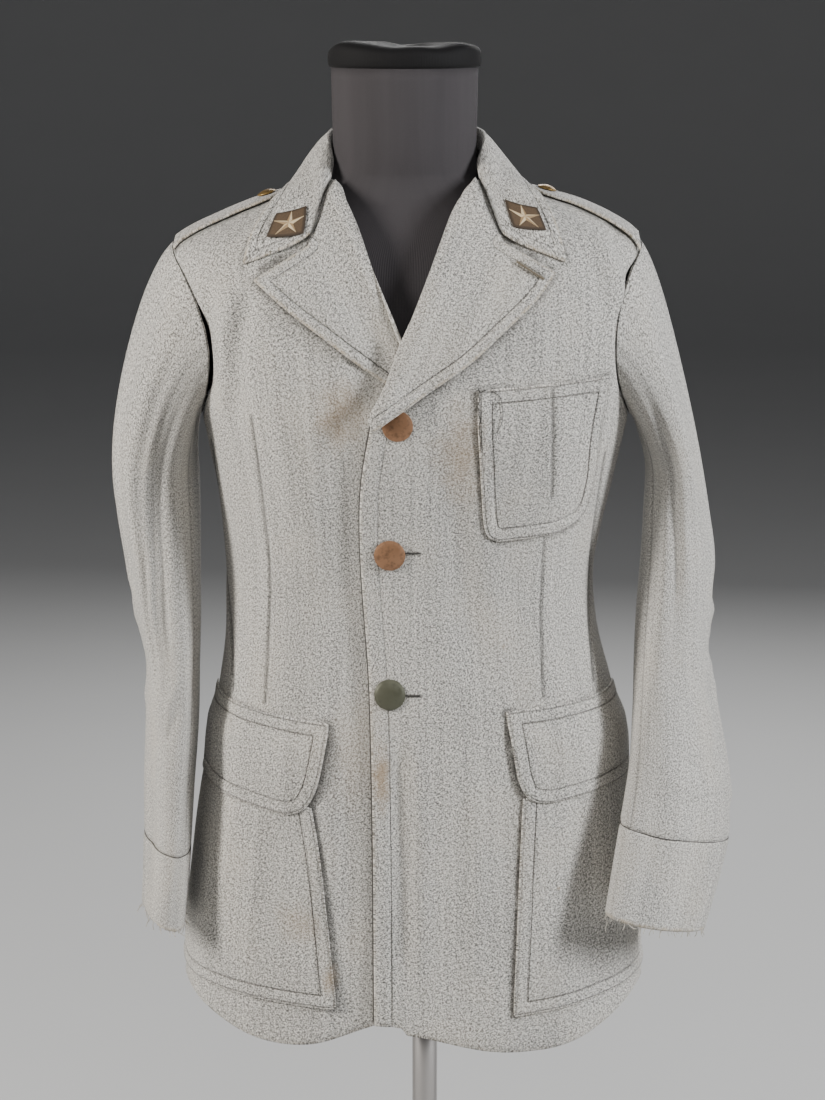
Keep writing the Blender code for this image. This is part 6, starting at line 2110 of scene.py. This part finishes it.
def make_stand():
    chrome, enamel = chrome_material(), enamel_material()
    centre = np.array((POLE_X, 0.0, 0.0))
    up = (0.0, 0.0, 1.0)
    foot = [(0.5, 9.0), (108.0, 9.0), (112.0, 8.95), (130.0, 7.6), (144.0, 6.4), (146.5, 5.9), (148.6, 5.1),
            (149.7, 4.1), (150.0, 3.2), (150.0, 1.0), (149.7, 0.3), (149.0, 0.0), (0.5, 0.0)]
    place_piece(lathe_mesh("stand_foot_plate", foot, centre, up, enamel, 96), ("stand_foot",))
    low = 9.3
    bore = 12.1
    socket = [(bore, low + 40.0), (bore + 2.2, low + 40.0), (bore + 3.6, low + 39.4), (bore + 4.6, low + 38.2),
              (bore + 5.0, low + 36.8), (bore + 5.0, low + 9.0), (bore + 5.6, low + 6.6), (bore + 8.0, low + 4.9),
              (bore + 13.0, low + 4.0), (bore + 14.6, low + 2.9), (bore + 15.0, low + 1.6), (bore + 15.0, low),
              (bore, low), (bore, low + 40.0)]
    place_piece(lathe_mesh("stand_socket_ring", socket, centre, up, chrome, 64), ("stand_socket",))
    high = FORM_LOW - SEAM
    pole = [(0.3, high), (11.2, high), (11.8, high - 0.6), (11.8, low + 0.6), (11.2, low), (0.3, low)]
    place_piece(lathe_mesh("stand_pole_tube", pole, centre, up, chrome, 64), ("stand_pole",))


def area_light(name, place, target, size, power, colour):
    light = bpy.data.lights.new(name, "AREA")
    light.shape = "RECTANGLE"
    light.size, light.size_y = size
    light.energy = power
    light.color = colour
    thing = bpy.data.objects.new(name, light)
    thing.location = place
    way = np.array(target) - np.array(place)
    flat = math.hypot(way[0], way[1])
    thing.rotation_euler = (math.atan2(flat, -way[2]), 0.0, math.atan2(-way[0], way[1]))
    bpy.context.scene.collection.objects.link(thing)
    return thing


def make_stage():
    """Pale floor, soft lights from both sides and behind, and the camera."""
    studio = bpy.context.scene.tunic_studio
    points, faces = [(0.0, 0.0, 0.0)], []
    rise = ((8.0, 0.0), (9.0, 0.06), (10.0, 0.3), (11.0, 0.8), (12.0, 1.7), (12.7, 3.0), (13.0, 5.0), (13.0, 7.0))
    steps = 72
    for radius, height in rise:
        for k in range(steps):
            spin = 2.0 * math.pi * k / steps
            points.append((radius * math.cos(spin), radius * math.sin(spin), height))
    for k in range(steps):
        k2 = (k + 1) % steps
        faces.append((0, 1 + k, 1 + k2))
        for j in range(len(rise) - 1):
            a, b = 1 + j * steps, 1 + (j + 1) * steps
            faces.append((a + k, b + k, b + k2, a + k2))
    mesh = bpy.data.meshes.new("studio_floor")
    mesh.from_pydata(points, [], faces)
    mesh.shade_smooth()
    material, shader, bench = new_material("studio_paper")
    place = bench.add("ShaderNodeTexCoord").outputs["Object"]
    grain = bench.noise(place, 3.0, 3.0, 0.5)
    tone = studio.floor_colour
    bench.tree.links.new(bench.mix(grain, four([c * 0.96 for c in tone]), four(tone)), shader.inputs["Base Color"])
    shader.inputs["Roughness"].default_value = 0.9
    mesh.materials.append(material)
    floor = bpy.data.objects.new("studio_floor", mesh)
    bpy.context.scene.collection.objects.link(floor)
    warm, cool = (1.0, 0.97, 0.93), (0.95, 0.97, 1.0)
    target = (0.0, 0.0, 0.72)
    area_light("left_softbox", (-2.2, -0.95, 1.6), target, (0.4, 1.1), studio.light_power, warm)
    area_light("right_softbox", (2.2, -0.95, 1.6), target, (0.4, 1.1), studio.light_power, cool)
    area_light("top_softbox", (0.1, -1.9, 2.5), target, (1.0, 0.8), studio.light_power * 0.13, (1.0, 1.0, 1.0))
    area_light("rear_softbox", (0.4, 2.6, 2.0), target, (1.4, 1.0), studio.light_power * 0.5, (1.0, 1.0, 1.0))
    world = bpy.data.worlds.new("studio_air")
    world.use_nodes = True
    world.node_tree.nodes["Background"].inputs[0].default_value = (0.92, 0.94, 1.0, 1.0)
    world.node_tree.nodes["Background"].inputs[1].default_value = studio.fill
    bpy.context.scene.world = world
    camera = bpy.data.cameras.new("photo_camera")
    camera.sensor_width = 36.0
    camera.lens = studio.lens
    thing = bpy.data.objects.new("photo_camera", camera)
    thing.location = studio.camera_place
    thing.rotation_euler = (math.radians(90.0 - studio.camera_pitch), 0.0, 0.0)
    bpy.context.scene.collection.objects.link(thing)
    bpy.context.scene.camera = thing


def colour_prop(name, description, default):
    return FloatVectorProperty(
        name=name, description=description, default=default, subtype="COLOR", size=3, min=0.0, max=1.0)


def slot_colour(slot):
    for material in frame["record"]["materials"]:
        if material["slot"] == slot:
            return tuple(material["base_color"][:3])
    raise RuntimeError("the record has no material slot " + slot)


class TunicSizes(PropertyGroup):
    stitch_pitch: FloatProperty(
        name="Stitch pitch", description="From one stitch to the next", default=0.0027, unit="LENGTH")
    thread_thickness: FloatProperty(
        name="Thread thickness", description="Thickness of the sewing thread", default=0.00055, unit="LENGTH")
    front_inset: FloatProperty(
        name="Front topstitch", description="From the front edge to its topstitching", default=0.0145, unit="LENGTH")
    lapel_inset: FloatProperty(
        name="Lapel topstitch", description="From the lapel's edge to its topstitching", default=0.009, unit="LENGTH")
    collar_inset: FloatProperty(
        name="Collar topstitch", description="From the collar's edge to its topstitching", default=0.008, unit="LENGTH")
    pocket_inset: FloatProperty(
        name="Pocket topstitch", description="From a pocket's edge to its inner stitching", default=0.0115,
        unit="LENGTH")
    fray_length: FloatProperty(
        name="Fray length", description="Longest frayed thread of a cuff", default=0.01, unit="LENGTH")
    fray_count: IntProperty(name="Fray count", description="Frayed threads of a cuff", default=70, min=2)


class TunicColours(PropertyGroup):
    wool_light: colour_prop("Light wool", "Light fibres of the melange", (0.78, 0.75, 0.69))
    wool_dark: colour_prop("Dark wool", "Dark fibres of the melange", (0.09, 0.085, 0.077))
    wool_warm: colour_prop("Warm wool", "Worn and yellowed wool", (0.50, 0.41, 0.28))
    stain: colour_prop("Stain", "Brownish stains", (0.30, 0.20, 0.105))
    thread: colour_prop("Thread", "Dark grey sewing thread", (0.05, 0.046, 0.04))
    hole_thread: colour_prop("Lapel hole thread", "Brown thread of the lapel's buttonhole", (0.19, 0.155, 0.105))
    fray: colour_prop("Frayed thread", "Pale frayed threads", (0.62, 0.58, 0.5))
    patch: colour_prop("Collar patch", "Brown patch cloth", (0.135, 0.085, 0.045))
    # The star's two colours paint light on its ridged arms: a painted highlight on one half of each arm, painted shade
    # on the other.
    star_lit_half: colour_prop("Star, light side", "Cream embroidery thread", (0.8, 0.63, 0.39))
    star_shaded_half: colour_prop("Star, dark side", "Tan embroidery thread", (0.42, 0.28, 0.14))
    copper: colour_prop("Copper", "Upper front buttons", slot_colour("copper"))
    bronze: colour_prop("Bronze", "Lowest front button", slot_colour("bronze"))
    brass: colour_prop("Brass", "Epaulette buttons", slot_colour("brass"))
    jersey: colour_prop("Jersey", "Cover of the dress form", (0.048, 0.043, 0.045))
    enamel: colour_prop("Enamel", "Foot of the stand", slot_colour("enamel"))


class TunicStudio(PropertyGroup):
    light_power: FloatProperty(name="Light power", description="Power of the left softbox", default=84.0, unit="POWER")
    fill: FloatProperty(name="Fill", description="Strength of the light from all round", default=0.07)
    lens: FloatProperty(name="Lens", description="Focal length in millimetres", default=98.18)
    camera_pitch: FloatProperty(name="Camera pitch", description="Degrees below level", default=10.5)
    camera_place: FloatVectorProperty(
        name="Camera place", description="Where the camera stands", default=(-0.0115, -2.7, 1.23),
        subtype="TRANSLATION", unit="LENGTH")
    floor_colour: colour_prop("Floor", "Studio paper", (0.56, 0.56, 0.555))


class TUNIC_OT_panels(Operator):
    """Fronts and backs of the tunic, with darts, creases and stains"""
    bl_idname = "tunic.panels"
    bl_label = "Fronts and backs"

    def execute(self, context):
        make_panels()
        return {"FINISHED"}


class TUNIC_OT_sleeves(Operator):
    """Sleeves and cuffs"""
    bl_idname = "tunic.sleeves"
    bl_label = "Sleeves and cuffs"

    def execute(self, context):
        make_sleeves()
        return {"FINISHED"}


class TUNIC_OT_lapels(Operator):
    """Lapels rolled back on the fronts"""
    bl_idname = "tunic.lapels"
    bl_label = "Lapels"

    def execute(self, context):
        make_lapels()
        return {"FINISHED"}


class TUNIC_OT_collar(Operator):
    """Collar with its patches and stars, and all topstitching"""
    bl_idname = "tunic.collar"
    bl_label = "Collar, patches and stitches"

    def execute(self, context):
        grid, normal = make_collar()
        make_patches(grid, normal)
        make_stitches(grid, normal)
        make_seams()
        return {"FINISHED"}


class TUNIC_OT_pockets(Operator):
    """Breast pocket, hip pockets and flaps"""
    bl_idname = "tunic.pockets"
    bl_label = "Pockets and flaps"

    def execute(self, context):
        make_pockets()
        return {"FINISHED"}


class TUNIC_OT_epaulettes(Operator):
    """Shoulder straps"""
    bl_idname = "tunic.epaulettes"
    bl_label = "Epaulettes"

    def execute(self, context):
        make_epaulettes()
        return {"FINISHED"}


class TUNIC_OT_buttons(Operator):
    """Buttons and worked buttonholes"""
    bl_idname = "tunic.buttons"
    bl_label = "Buttons and buttonholes"

    def execute(self, context):
        make_buttons()
        make_buttonholes()
        return {"FINISHED"}


class TUNIC_OT_threads(Operator):
    """Loose threads and frayed cuffs"""
    bl_idname = "tunic.threads"
    bl_label = "Loose threads"

    def execute(self, context):
        make_threads()
        return {"FINISHED"}


class TUNIC_OT_form(Operator):
    """Dress form in black jersey with its cap"""
    bl_idname = "tunic.form"
    bl_label = "Dress form"

    def execute(self, context):
        make_form()
        return {"FINISHED"}


class TUNIC_OT_stand(Operator):
    """Pole, socket and foot"""
    bl_idname = "tunic.stand"
    bl_label = "Stand"

    def execute(self, context):
        make_stand()
        return {"FINISHED"}


class TUNIC_OT_stage(Operator):
    """Studio floor, lights and camera"""
    bl_idname = "tunic.stage"
    bl_label = "Studio"

    def execute(self, context):
        make_stage()
        return {"FINISHED"}


OPERATORS = (
    TUNIC_OT_panels, TUNIC_OT_sleeves, TUNIC_OT_lapels, TUNIC_OT_collar, TUNIC_OT_pockets, TUNIC_OT_epaulettes,
    TUNIC_OT_buttons, TUNIC_OT_threads, TUNIC_OT_form, TUNIC_OT_stand, TUNIC_OT_stage)


class TUNIC_PT_sidebar(Panel):
    """Lists the tunic's pieces"""
    bl_label = "Military tunic"
    bl_idname = "TUNIC_PT_sidebar"
    bl_space_type = "VIEW_3D"
    bl_region_type = "UI"
    bl_category = "Tunic"

    def draw(self, context):
        for operator in OPERATORS:
            self.layout.operator(operator.bl_idname)
        for group in (context.scene.tunic_sizes, context.scene.tunic_colours, context.scene.tunic_studio):
            for label in group.bl_rna.properties.keys():
                if label not in ("rna_type", "name"):
                    self.layout.prop(group, label)


CLASSES = (TunicSizes, TunicColours, TunicStudio) + OPERATORS + (TUNIC_PT_sidebar,)


def register():
    for kind in CLASSES:
        bpy.utils.register_class(kind)
    bpy.types.Scene.tunic_sizes = PointerProperty(type=TunicSizes)
    bpy.types.Scene.tunic_colours = PointerProperty(type=TunicColours)
    bpy.types.Scene.tunic_studio = PointerProperty(type=TunicStudio)


def unregister():
    del bpy.types.Scene.tunic_sizes
    del bpy.types.Scene.tunic_colours
    del bpy.types.Scene.tunic_studio
    for kind in reversed(CLASSES):
        bpy.utils.unregister_class(kind)


def main():
    register()
    for call in (
            bpy.ops.tunic.panels, bpy.ops.tunic.sleeves, bpy.ops.tunic.lapels, bpy.ops.tunic.collar,
            bpy.ops.tunic.pockets, bpy.ops.tunic.epaulettes, bpy.ops.tunic.buttons, bpy.ops.tunic.threads,
            bpy.ops.tunic.form, bpy.ops.tunic.stand, bpy.ops.tunic.stage):
        call()


if __name__ == "__main__":
    main()
